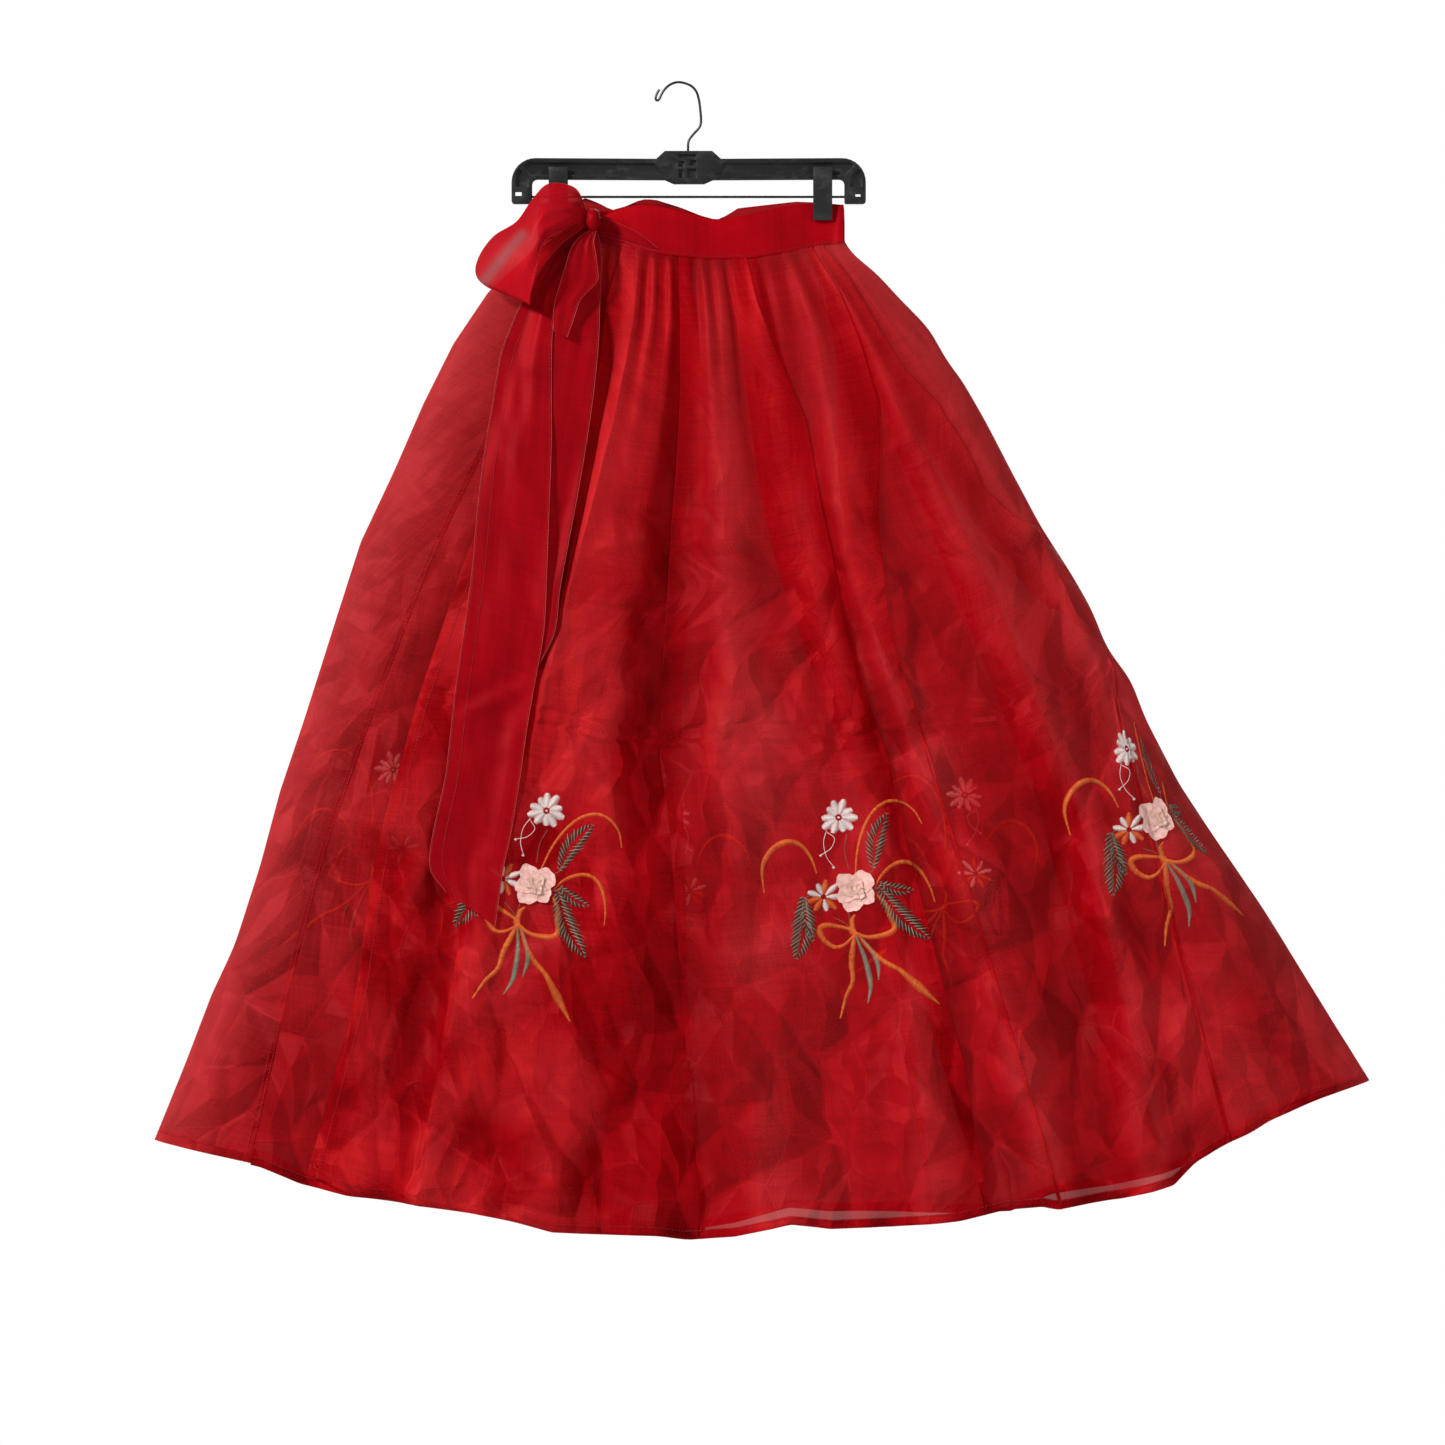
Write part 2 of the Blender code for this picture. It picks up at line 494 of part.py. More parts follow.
def under_points(front):
    """The underlap: from the join to the front panel's free edge, then behind the front panel's folds."""
    shared = sum(max(2 * fold["halves"], 3) for fold in FRONT_FOLDS[:UNDER_LAST_FOLD]) + 1
    points = np.zeros((len(PANEL_ROWS), WRAP_MIDDLE_COLUMNS + shared, 3))
    for r, share in enumerate(PANEL_ROWS):
        for c in range(shared):
            x, y, z = front[r, c]
            points[r, WRAP_MIDDLE_COLUMNS + c] = (x, y + under_gap(x + REST_ACROSS, share), z)
        edge = points[r, WRAP_MIDDLE_COLUMNS]
        across, down = join_at(share)
        for c in range(WRAP_MIDDLE_COLUMNS):
            part = c / WRAP_MIDDLE_COLUMNS
            place = across + (edge[0] + REST_ACROSS - across) * part
            level = down + (REST_DOWN - edge[2] - down) * part
            held = band_depth(place, "inner")
            loose = base_depth(place, level, share, "front") + under_gap(place, share)
            out = held + (loose - held) * band_mix(share)
            points[r, c] = (x_of(place), out + (edge[1] - out) * part ** 2, z_of(level))
    # The underlap's own hem
    for c in range(points.shape[1]):
        top, old = points[0, c, 2], points[-1, c, 2]
        new = z_of(from_table(HEM_UNDER, "down", points[-1, c, 0] + REST_ACROSS))
        points[:, c, 2] = top + (points[:, c, 2] - top) * (new - top) / (old - top)
    return points


def draw_back(points, column, neighbour, gap):
    """Draws one edge column back from its seam by half the seam's gap."""
    step = points[:, neighbour] - points[:, column]
    length = np.linalg.norm(step, axis=1, keepdims=True)
    points[:, column] += step / np.maximum(length, 1e-6) * gap / 2.0


def side_seam_place(points, column, neighbour):
    """How far from the middle plane an edge column lies, so that the wall's slanted rim clears the seam."""
    step = points[:, neighbour] - points[:, column]
    slant = np.abs(step[:, 0]) / np.maximum(np.linalg.norm(step[:, :2], axis=1), 1e-6)
    return (SEAM_GAP + RIM_SLANT) / 2.0 + CLOTH_WALL / 2.0 * slant


# Panels of the skirt
def make_panels(red):
    count = len(FRONT_FOLDS)
    columns = fold_columns(FRONT_FOLDS)
    front = panel_points(FRONT_FOLDS, columns, [OUTLINE_RIGHT] * count, HEM_FRONT, "front")
    front[:, -1, 1] = -side_seam_place(front, -1, -2)
    cloth("front_panel", front, CLOTH_WALL, red)

    count = len(BACK_FOLDS)
    columns = fold_columns(BACK_FOLDS)
    outlines = [OUTLINE_RIGHT] * (count - 1) + [OUTLINE_LEFT]
    back = panel_points(BACK_FOLDS, columns, outlines, HEM_BACK, "back")
    back[:, 0, 1] = side_seam_place(back, 0, 1)
    for r, share in enumerate(PANEL_ROWS):
        across, down = left_outline_at(share)
        out = LEFT_TURN_OUT * (1.0 - band_mix(share))
        back[r, -1] = (x_of(across), out, z_of(down))
    whole = np.concatenate([back, wrap_points()], axis=1)
    draw_back(whole, -1, -2, SEAM_GAP)
    cloth("back_panel", whole, CLOTH_WALL, red)

    under = under_points(front)
    draw_back(under, 0, 1, SEAM_GAP)
    cloth("underlap_panel", under, CLOTH_WALL, red)
    return np.concatenate([dense(sheet, PANEL_CLOUD_STEPS) for sheet in (front, under, whole)])


# The waistband: one strip, round the plan from its inner to its outer end
def make_waistband(red):
    rows = len(BAND_ROWS)
    points = np.zeros((rows, len(BAND_PLAN), 3))
    for c, (across, out, layer) in enumerate(BAND_PLAN):
        top = from_table(BAND_TOPS[layer], "down", across)
        bottom = from_table(SEAM_LINE, "down", across)
        for r, share in enumerate(BAND_ROWS):
            points[r, c] = (x_of(across), out, z_of(top + (bottom - top) * share))
    cloth("waistband", points[::-1], BAND_WALL, red)


# The sash: tails, bow loop, short end, knot and the strap that crosses the band
def dense(points, times):
    """The same sheet with its cells divided, as a list of points."""
    rows, columns = points.shape[:2]
    r_at, c_at = np.arange(rows), np.arange(columns)
    r_new = np.linspace(0, rows - 1, (rows - 1) * times + 1)
    c_new = np.linspace(0, columns - 1, (columns - 1) * times + 1)
    down = np.stack([[np.interp(r_new, r_at, points[:, c, k]) for c in range(columns)] for k in range(3)])
    both = np.stack([[np.interp(c_new, c_at, down[k, :, r]) for r in range(len(r_new))] for k in range(3)])
    return both.reshape(3, -1).T


def foremost(cloud, x, z):
    """The place nearest the viewer that the cloth reaches near a point of the drawing."""
    reach = from_table(LAY_REACH_DOWN, "reach", REST_DOWN - z, "down")
    near = (np.abs(cloud[:, 0] - x) < LAY_REACH_ACROSS) & (np.abs(cloud[:, 2] - z) < reach)
    return float(cloud[near, 1].min()) if near.any() else 0.0


def tail_points(top, rows, tip, cloud, start):
    """A tail laid on what is behind it, hanging in from the knot at its top."""
    level = [{"left": (row["left"], row["down"]), "right": (row["right"], row["down"])} for row in rows]
    edges = [*top, *level, *tip]
    points = np.zeros((len(edges), TAIL_COLUMNS + 1, 3))
    for r, edge in enumerate(edges):
        for c in range(TAIL_COLUMNS + 1):
            part = c / TAIL_COLUMNS
            across = edge["left"][0] + (edge["right"][0] - edge["left"][0]) * part
            down = edge["left"][1] + (edge["right"][1] - edge["left"][1]) * part
            points[r, c] = (x_of(across), 0.0, z_of(down))
    for r in range(points.shape[0]):
        for c in range(points.shape[1]):
            x, _, z = points[r, c]
            laid = foremost(cloud, x, z) - (CLOTH_WALL + SASH_WALL) / 2.0 - TAIL_CLEARANCE
            hung = np.interp(REST_DOWN - z, start["down"], start["out"])
            ripple = TAIL_RIPPLE * math.cos(math.pi * (c + TAIL_RIPPLE_SHIFT * r))
            points[r, c, 1] = min(laid, hung) - abs(ripple) * 0.5 - ripple * 0.5
    return points


def ribbon_points(rows, first, last, columns):
    """A sheet from rows that give its two edges, puffed out between them."""
    points = np.zeros((len(rows), columns + 1, 3))
    for r, row in enumerate(rows):
        a, b = np.array(row[first], float), np.array(row[last], float)
        for c in range(columns + 1):
            part = c / columns
            across, down, out = a + (b - a) * part
            out -= row.get("puff", 0.0) * math.sin(math.pi * part)
            points[r, c] = (x_of(across), out, z_of(down))
    return points


def make_sash(red, cloud):
    behind = tail_points(BACK_TAIL_TOP, BACK_TAIL, (), cloud, BACK_TAIL_START)
    cloth("sash_tail_back", behind, SASH_WALL, red)
    cloud = np.concatenate([cloud, dense(behind, TAIL_CLOUD_STEPS)])
    before = tail_points(FRONT_TAIL_TOP, FRONT_TAIL, FRONT_TAIL_TIP, cloud, FRONT_TAIL_START)
    cloth("sash_tail_front", before, SASH_WALL, red)
    cloth("sash_loop", ribbon_points(BOW_LOOP, "upper", "lower", LOOP_COLUMNS), SASH_WALL, red)
    cloud = np.concatenate([cloud, dense(before, TAIL_CLOUD_STEPS)])
    short = ribbon_points(SHORT_END, "left", "right", SHORT_END_COLUMNS)
    for point in short.reshape(-1, 3):
        point[1] = min(point[1], foremost(cloud, point[0], point[2]) - SASH_WALL - TAIL_CLEARANCE)
    cloth("sash_short_end", short, SASH_WALL, red)

    strap = np.zeros((3, len(WRAP_STRIP), 3))
    for c, row in enumerate(WRAP_STRIP):
        for r in range(3):
            down = row["upper"] + (row["lower"] - row["upper"]) * r / 2.0
            out = band_depth(row["across"], "front") - (BAND_WALL + SASH_WALL) / 2.0 - SEAM_GAP
            strap[r, c] = (x_of(row["across"]), out, z_of(down))
    cloth("sash_strap", strap, SASH_WALL, red)

    mesh = bpy.data.meshes.new("sash_knot")
    lump = bmesh.new()
    bmesh.ops.create_uvsphere(lump, u_segments=KNOT_SEGMENTS[0], v_segments=KNOT_SEGMENTS[1], radius=1.0)
    half = KNOT_HALVES
    for vertex in lump.verts:
        angle = math.atan2(vertex.co.z, vertex.co.x)
        pleat = 1.0 + KNOT_PLEAT * math.cos(KNOT_PLEATS * angle) * (1.0 - vertex.co.y ** 2)
        vertex.co.x *= half[0] * pleat * MM
        vertex.co.y *= half[1] * MM
        vertex.co.z *= half[2] * pleat * MM
    bmesh.ops.recalc_face_normals(lump, faces=lump.faces)
    lump.to_mesh(mesh)
    lump.free()
    knot = add_object("sash_knot", mesh, red)
    knot.location = (float(x_of(KNOT_CENTRE[0])) * MM, KNOT_CENTRE[2] * MM, float(z_of(KNOT_CENTRE[1])) * MM)
    knot.data.shade_smooth()


# The hanger
def rounded(corners):
    """A closed outline from corners given as (across, down, radius), its corners rounded."""
    outline = []
    count = len(corners)
    for i, (x, y, radius) in enumerate(corners):
        if radius == 0:
            outline.append((x, y))
            continue
        here = np.array((x, y), float)
        before = np.array(corners[i - 1][:2], float) - here
        after = np.array(corners[(i + 1) % count][:2], float) - here
        before /= np.linalg.norm(before)
        after /= np.linalg.norm(after)
        half = math.acos(float(np.clip(before @ after, -1, 1))) / 2.0
        reach = radius / math.tan(half)
        centre = here + (before + after) / np.linalg.norm(before + after) * radius / math.sin(half)
        steps = 8 if radius > 10 else 3
        start, end = here + before * reach - centre, here + after * reach - centre
        a0 = math.atan2(start[1], start[0])
        turn = math.atan2(start[0] * end[1] - start[1] * end[0], float(start @ end))
        for step in range(steps + 1):
            angle = a0 + turn * step / steps
            outline.append((centre[0] + radius * math.cos(angle), centre[1] + radius * math.sin(angle)))
    return outline


def plate_mesh(name, outline, depth):
    """A flat outline given a depth either side of its plane, as a closed mesh in its own XY."""
    curve = bpy.data.curves.new(name, "CURVE")
    curve.dimensions = "2D"
    curve.fill_mode = "BOTH"
    curve.extrude = depth / 2.0 * MM
    spline = curve.splines.new("POLY")
    spline.points.add(len(outline) - 1)
    for point, (a, b) in zip(spline.points, outline):
        point.co = (a * MM, b * MM, 0.0, 1.0)
    spline.use_cyclic_u = True
    flat = bpy.data.objects.new(name, curve)
    bpy.context.scene.collection.objects.link(flat)
    bpy.context.view_layer.update()
    mesh = bpy.data.meshes.new_from_object(flat.evaluated_get(bpy.context.evaluated_depsgraph_get()))
    bpy.data.objects.remove(flat, do_unlink=True)
    closing = bmesh.new()
    closing.from_mesh(mesh)
    bmesh.ops.remove_doubles(closing, verts=closing.verts, dist=1e-6)
    bmesh.ops.recalc_face_normals(closing, faces=closing.faces)
    closing.to_mesh(mesh)
    closing.free()
    mesh.materials.clear()
    return mesh


def turn_mesh(mesh, axes, offset):
    """Moves a mesh's points so that its own X, Y and Z lie along the given axes."""
    frame = np.array(axes, float).T
    for vertex in mesh.vertices:
        vertex.co = frame @ np.array(vertex.co) + np.array(offset, float) * MM
    if np.linalg.det(frame) < 0:
        mesh.flip_normals()
    mesh.update()


def front_plate(name, outline, depth, out=0.0):
    """A plate in the drawing's plane, from an outline in across and down."""
    flat = [(float(x_of(a)), float(z_of(d))) for a, d in outline]
    mesh = plate_mesh(name, flat, depth)
    turn_mesh(mesh, ((1, 0, 0), (0, 0, 1), (0, -1, 0)), (0, out, 0))
    return mesh


def side_plate(name, outline, width, across):
    """A plate across the hanger, from an outline in out and down."""
    flat = [(o, float(z_of(d))) for o, d in outline]
    mesh = plate_mesh(name, flat, width)
    turn_mesh(mesh, ((0, 1, 0), (0, 0, 1), (1, 0, 0)), (float(x_of(across)), 0, 0))
    return mesh


def cutter(name, mesh):
    thing = bpy.data.objects.new(name, mesh)
    thing.hide_render = True
    thing.display_type = "WIRE"
    CUTTERS.objects.link(thing)
    return thing


def boolean(thing, other, operation):
    step = thing.modifiers.new(other.name, "BOOLEAN")
    step.operation = operation
    step.solver = "EXACT"
    step.object = other


def drill(thing, name, radius, length, middle, axis):
    """A round hole of a length about a middle given as across, out and down, along X or Z."""
    mesh = bpy.data.meshes.new(name)
    round_bar = bmesh.new()
    bmesh.ops.create_cone(round_bar, cap_ends=True, segments=16, radius1=radius * MM, radius2=radius * MM,
                          depth=length * MM)
    round_bar.to_mesh(mesh)
    round_bar.free()
    hole = cutter(name, mesh)
    if axis == "X":
        hole.rotation_euler = (0.0, math.pi / 2.0, 0.0)
    hole.location = (float(x_of(middle[0])) * MM, middle[1] * MM, float(z_of(middle[2])) * MM)
    boolean(thing, hole, "DIFFERENCE")


def mirrored(outline):
    """The same outline on the other arm of the bar."""
    return [(2.0 * BAR_MIDDLE - a, d) for a, d in reversed(outline)]


def box_outline(left, top, right, bottom):
    return [(left, top), (right, top), (right, bottom), (left, bottom)]


def make_bar(black):
    bar = add_object("hanger_bar", front_plate("hanger_bar", rounded(BAR_OUTLINE), BAR_DEPTH), black)
    face = BAR_DEPTH / 2.0
    recesses = {
        "left_arm": ARM_RECESS, "right_arm": mirrored(ARM_RECESS),
        "left_foot": FOOT_RECESS, "right_foot": mirrored(FOOT_RECESS),
    }
    for side, out in (("front", -face), ("rear", face)):
        for place, outline in recesses.items():
            name = f"recess_{side}_{place}"
            boolean(bar, cutter(name, front_plate(name, outline, 2.0 * BAR_RECESS, out)), "DIFFERENCE")
    for index, corners in enumerate(WINDOW_CUTS):
        name = f"window_{index}"
        pocket = front_plate(name, box_outline(*corners), 2.0 * WINDOW_DEPTH, -face)
        boolean(bar, cutter(name, pocket), "DIFFERENCE")
    for index, corners in enumerate(FOOT_SLOTS):
        name = f"foot_slot_{index}"
        slot = front_plate(name, box_outline(*corners), 2.0 * BAR_DEPTH)
        boolean(bar, cutter(name, slot), "DIFFERENCE")
    fit = WIRE_RADIUS + WIRE_FIT
    drill(bar, "hook_hole", fit, 2.0 * HOOK_HOLE, (HOOK_STEM, 0.0, BAR_TOP), "Z")
    drill(bar, "rod_hole_left", fit, 2.0 * ROD_HOLE, (FOOT_SPANS[0][1], 0.0, ROD_DOWN), "X")
    drill(bar, "rod_hole_right", fit, 2.0 * ROD_HOLE, (FOOT_SPANS[1][0], 0.0, ROD_DOWN), "X")
    shade_smooth(bar)


def smooth_path(points, steps):
    """A curve through the points, each span in equal steps."""
    points = np.array(points, float)
    ends = np.vstack([2 * points[0] - points[1], points, 2 * points[-1] - points[-2]])
    path = []
    for i in range(1, len(ends) - 2):
        p0, p1, p2, p3 = ends[i - 1:i + 3]
        for step in range(steps):
            t = step / steps
            path.append(0.5 * (2 * p1 + (p2 - p0) * t + (2 * p0 - 5 * p1 + 4 * p2 - p3) * t * t
                               + (3 * p1 - p0 - 3 * p2 + p3) * t ** 3))
    path.append(points[-1])
    return np.array(path)


def wire(name, path, radius, made_of):
    """A round wire along a path given in across, out and down."""
    curve = bpy.data.curves.new(name, "CURVE")
    curve.dimensions = "3D"
    curve.bevel_depth = radius * MM
    curve.bevel_resolution = 2
    curve.use_fill_caps = True
    spline = curve.splines.new("POLY")
    spline.points.add(len(path) - 1)
    for point, (across, out, down) in zip(spline.points, path):
        point.co = (float(x_of(across)) * MM, out * MM, float(z_of(down)) * MM, 1.0)
    spline.use_smooth = True
    thing = bpy.data.objects.new(name, curve)
    curve.materials.append(made_of)
    PARTS.objects.link(thing)
    return thing


def make_clip(side, across, half_gap, black, steel):
    """One pinch clip: two jaws hung on the rod by their cheeks, and the leaf spring between them."""
    for face, sign in (("front", -1.0), ("rear", 1.0)):
        outline = [(sign * out, down) for out, down in JAW_OUTLINE]
        outline += [(sign * half_gap, CLIP_TIP_DOWN), (sign * half_gap, JAW_PAD_DOWN)]
        outline += [(sign * out, down) for out, down in JAW_INNER]
        name = f"clip_{side}_{face}"
        jaw = add_object(name, side_plate(name, outline, CLIP_WIDTH, across), black)
        for hand in (-1.0, 1.0):
            cheek_name = f"{name}_cheek_{'near' if hand < 0 else 'far'}"
            cheek = [(sign * out, down) for out, down in CHEEK_OUTLINE]
            place = across + hand * CHEEK_PLACE[face]
            boolean(jaw, cutter(cheek_name, side_plate(cheek_name, cheek, CHEEK_WIDTH, place)), "UNION")
        drill(jaw, f"{name}_bore", WIRE_RADIUS + WIRE_FIT, 2.0 * CLIP_WIDTH, (across, 0.0, ROD_DOWN), "X")
        shade_smooth(jaw)
    name = f"clip_{side}_spring"
    strip = strip_outline(SPRING_PATH, SPRING_WALL)
    spring = add_object(name, side_plate(name, strip, SPRING_WIDTH, across), steel)
    shade_smooth(spring)


def strip_outline(path, wall):
    """The outline of a strip of even thickness along a path."""
    path = np.array(path, float)
    along = np.gradient(path, axis=0)
    along /= np.linalg.norm(along, axis=1, keepdims=True)
    across = np.stack([-along[:, 1], along[:, 0]], axis=1) * wall / 2.0
    return [tuple(p) for p in path + across] + [tuple(p) for p in (path - across)[::-1]]


def make_hanger(black, steel):
    make_bar(black)
    wire("hanger_hook", [(a, 0.0, d) for a, d in smooth_path(HOOK_PATH, 3)], WIRE_RADIUS, steel)
    wire("hanger_rod", [(ROD_ENDS[0], 0.0, ROD_DOWN), (ROD_ENDS[1], 0.0, ROD_DOWN)], WIRE_RADIUS, steel)
    make_clip("left", LEFT_CLIP_ACROSS, LEFT_HALF_GAP, black, steel)
    make_clip("right", RIGHT_CLIP_ACROSS, RIGHT_HALF_GAP, black, steel)


PARTS = bpy.data.collections.new("wrap_skirt_on_clip_hanger")
CUTTERS = bpy.data.collections.new("cutters")


def main():
    for thing in list(bpy.data.objects):
        bpy.data.objects.remove(thing, do_unlink=True)
    bpy.context.scene.collection.children.link(PARTS)
    bpy.context.scene.collection.children.link(CUTTERS)
    panel_red = material("red_organza", (0.45, 0.004, 0.012), 0.6)
    sash_red = material("red_organza_double", (0.36, 0.002, 0.01), 0.55)
    black = material("black_plastic", (0.012, 0.012, 0.013), 0.4)
    steel = material("dark_steel", (0.16, 0.16, 0.17), 0.35, 1.0)
    skirt_cloud = make_panels(panel_red)
    make_waistband(sash_red)
    make_sash(sash_red, skirt_cloud)
    make_hanger(black, steel)


main()
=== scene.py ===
import math

import bmesh
import bpy
import numpy as np
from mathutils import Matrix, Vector, noise
from mathutils.bvhtree import BVHTree
from mathutils.geometry import delaunay_2d_cdt


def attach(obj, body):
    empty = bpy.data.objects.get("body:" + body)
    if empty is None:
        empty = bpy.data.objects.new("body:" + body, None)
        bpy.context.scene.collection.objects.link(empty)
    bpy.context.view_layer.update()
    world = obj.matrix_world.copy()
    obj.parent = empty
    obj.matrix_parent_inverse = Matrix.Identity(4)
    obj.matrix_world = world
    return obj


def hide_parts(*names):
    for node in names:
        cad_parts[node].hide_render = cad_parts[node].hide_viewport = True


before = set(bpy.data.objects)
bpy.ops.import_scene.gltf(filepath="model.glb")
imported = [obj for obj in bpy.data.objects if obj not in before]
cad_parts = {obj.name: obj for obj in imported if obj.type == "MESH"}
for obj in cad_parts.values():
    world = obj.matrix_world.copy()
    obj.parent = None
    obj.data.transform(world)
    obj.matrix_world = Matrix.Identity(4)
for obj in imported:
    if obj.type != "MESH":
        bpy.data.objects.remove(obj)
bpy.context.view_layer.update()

# Studio: white surround that the skirt itself shades where it is seen through the cloth, pale floor well
# below the hem, a soft key from the upper left, a weaker fill, and a camera square to the skirt. One
# millimetre of the drawing is one pixel of the 1445 frame.
MM = 0.001
REST_ACROSS = 678.5
REST_DOWN = 80.2
PICTURE_SIDE = 1.445
PICTURE_MIDDLE = (0.044, -0.6423)
SKIRT_FRONT = -0.035
VIEW_DISTANCE = 7.0
SENSOR_WIDTH = 36.0
FAR_CLIP = 60.0
FLOOR_HEIGHT = -1.62
FLOOR_REACH = 2.4
STUDIO_AIM = (0.0, 0.0, -0.6)


class Value:
    """A shader number: maths on it adds its nodes."""

    def __init__(self, finish, socket):
        self.finish = finish
        self.socket = socket

    def maths(self, operation, first, second=0.0):
        return self.finish.node("ShaderNodeMath", {"operation": operation}, {0: first, 1: second})

    def __add__(self, other):
        return self.maths("ADD", self, other)

    __radd__ = __add__

    def __sub__(self, other):
        return self.maths("SUBTRACT", self, other)

    def __rsub__(self, other):
        return self.maths("SUBTRACT", other, self)

    def __mul__(self, other):
        return self.maths("MULTIPLY", self, other)

    __rmul__ = __mul__

    def __pow__(self, other):
        return self.maths("POWER", self, other)


class Nodes:
    """A node tree: node() adds any node and returns its first output, or the one named."""

    tree = None

    def node(self, kind, settings=None, sockets=None, out=0):
        made = self.tree.nodes.new(kind)
        for key, value in (settings or {}).items():
            if key == "stops":
                ramp = made.color_ramp
                for index, (place, colour) in enumerate(value):
                    stop = ramp.elements[index] if index < 2 else ramp.elements.new(place)
                    stop.position = place
                    stop.color = (*colour, 1.0)
            else:
                setattr(made, key, value)
        for key, value in (sockets or {}).items():
            if isinstance(value, Value):
                self.tree.links.new(value.socket, made.inputs[key])
            else:
                made.inputs[key].default_value = value
        return Value(self, made.outputs[out]) if made.outputs else None


class Finish(Nodes):
    """A node-built material."""

    def __init__(self, name):
        self.material = bpy.data.materials.new(name)
        self.material.use_nodes = True
        self.tree = self.material.node_tree
        self.tree.nodes.clear()

    def mix(self, factor, first, second):
        colours = [c if isinstance(c, Value) else (*c, 1.0) for c in (first, second)]
        return self.node("ShaderNodeMix", {"data_type": "RGBA"},
                         {0: factor, 6: colours[0], 7: colours[1]}, out=2)

    def grain(self, place, scale, stretch=None, detail=2.0, flat=False):
        """Noise over a place, finer along the axes of a larger stretch."""
        spread = self.node("ShaderNodeMapping", {}, {"Vector": place, "Scale": stretch}) if stretch else place
        return self.node("ShaderNodeTexNoise", {"noise_dimensions": "2D" if flat else "3D"},
                         {"Vector": spread, "Scale": scale, "Detail": detail})

    def done(self, shader):
        self.node("ShaderNodeOutputMaterial", {}, {"Surface": shader})
        return self.material


def in_scene(name, data):
    """A new object that holds this data, linked to the scene."""
    made = bpy.data.objects.new(name, data)
    bpy.context.scene.collection.objects.link(made)
    return made


camera = in_scene("camera", bpy.data.cameras.new("camera"))
camera.data.sensor_width = SENSOR_WIDTH
camera.data.lens = SENSOR_WIDTH * VIEW_DISTANCE / PICTURE_SIDE
camera.data.clip_end = FAR_CLIP
camera.location = (PICTURE_MIDDLE[0], SKIRT_FRONT - VIEW_DISTANCE, PICTURE_MIDDLE[1])
camera.rotation_euler = (math.pi / 2.0, 0.0, 0.0)
bpy.context.scene.camera = camera
bpy.context.scene.view_settings.view_transform = "Standard"
bpy.context.scene.cycles.transparent_max_bounces = 24
bpy.context.scene.cycles.max_bounces = 4
bpy.context.scene.cycles.diffuse_bounces = 1
bpy.context.scene.cycles.glossy_bounces = 2
bpy.context.scene.cycles.transmission_bounces = 4

# The surround lights the skirt less than it shows to the camera, and each layer of cloth in front of it
# dims it, as the skirt's own shade does
SURROUND_LIGHT = 0.17
SHADE_BEHIND = 0.27
surround = bpy.data.worlds.new("white_studio")
surround.use_nodes = True
sky = Nodes()
sky.tree = surround.node_tree
seen = sky.node("ShaderNodeLightPath", out="Is Camera Ray")
layers_passed = Value(sky, seen.socket.node.outputs["Transparent Depth"])
behind = layers_passed.maths("POWER", SHADE_BEHIND, layers_passed)
level = sky.node("ShaderNodeMapRange", {}, {"Value": seen, "To Min": SURROUND_LIGHT, "To Max": behind})
sky.tree.links.new(level.socket, sky.tree.nodes["Background"].inputs["Strength"])
sky.tree.nodes["Background"].inputs["Color"].default_value = (1.0, 1.0, 1.0, 1.0)
bpy.context.scene.world = surround

STUDIO_LIGHTS = (
    {"name": "key", "place": (-4.8, -3.9, 3.0), "side": 0.9, "power": 660.0},
    {"name": "fill", "place": (2.6, -2.8, 0.3), "side": 2.2, "power": 42.0},
    {"name": "back", "place": (0.8, 3.0, 1.6), "side": 2.2, "power": 60.0},
)
for row in STUDIO_LIGHTS:
    lamp = bpy.data.lights.new(row["name"], "AREA")
    lamp.size = row["side"]
    lamp.energy = row["power"]
    held = in_scene(row["name"], lamp)
    held.location = row["place"]
    aim = Vector(STUDIO_AIM) - Vector(row["place"])
    held.rotation_euler = aim.to_track_quat("-Z", "Y").to_euler()

paint = Finish("pale_floor")
spot = paint.node("ShaderNodeTexCoord", out=3)
speckle = paint.grain(spot, 40.0, detail=6.0)
# the floor seen through the cloth is darkened by SHADE_BEHIND for each layer passed: painted shade of the skirt
floor_layers = paint.node("ShaderNodeLightPath", out="Transparent Depth")
paint_shade = paint.mix(floor_layers.maths("POWER", SHADE_BEHIND, floor_layers), (0.0, 0.0, 0.0),
                        paint.mix(speckle, (0.86, 0.86, 0.85), (0.92, 0.92, 0.91)))
paint_bump = paint.node("ShaderNodeBump", {}, {"Strength": 0.05, "Distance": 0.001, "Height": speckle})
floor_mesh = bpy.data.meshes.new("floor")
floor_corners = [(FLOOR_REACH * x, FLOOR_REACH * y, FLOOR_HEIGHT)
                 for x, y in ((-1, -1), (1, -1), (1, 1), (-1, 1))]
floor_mesh.from_pydata(floor_corners, [], [(0, 1, 2, 3)])
floor_mesh.materials.append(paint.done(paint.node("ShaderNodeBsdfPrincipled", {}, {
    "Base Color": paint_shade, "Roughness": 0.7, "Normal": paint_bump})))
floor = in_scene("floor", floor_mesh)

# The cloth: sheer organza, plain woven from fine stiff yarn, so some of what lies behind shows through.
# A slope to the front or back view closes the gaps between its yarns, so each vertex carries its cover.
YARN_COVER = 0.63
LEAST_SLOPE = 0.5
GAP_TINT = (1.0, 0.58, 0.58)
ORGANZA_LIT = (0.39, 0.0008, 0.005)
ORGANZA_THROUGH = (0.40, 0.0008, 0.005)
PAINTED_PALE_LIGHT = (0.60, 0.045, 0.05)
SHADE_SPREAD = (0.55, 1.45)
# thick places of the yarns, to the metre across and along the cut
WEFT_SLUB = (14.0, 330.0, 1.0)
WARP_SLUB = (290.0, 10.0, 1.0)
SLUB_COVER = 0.04
SLUB_HEIGHT = 0.00003
WEAVE_SCALE = 500.0
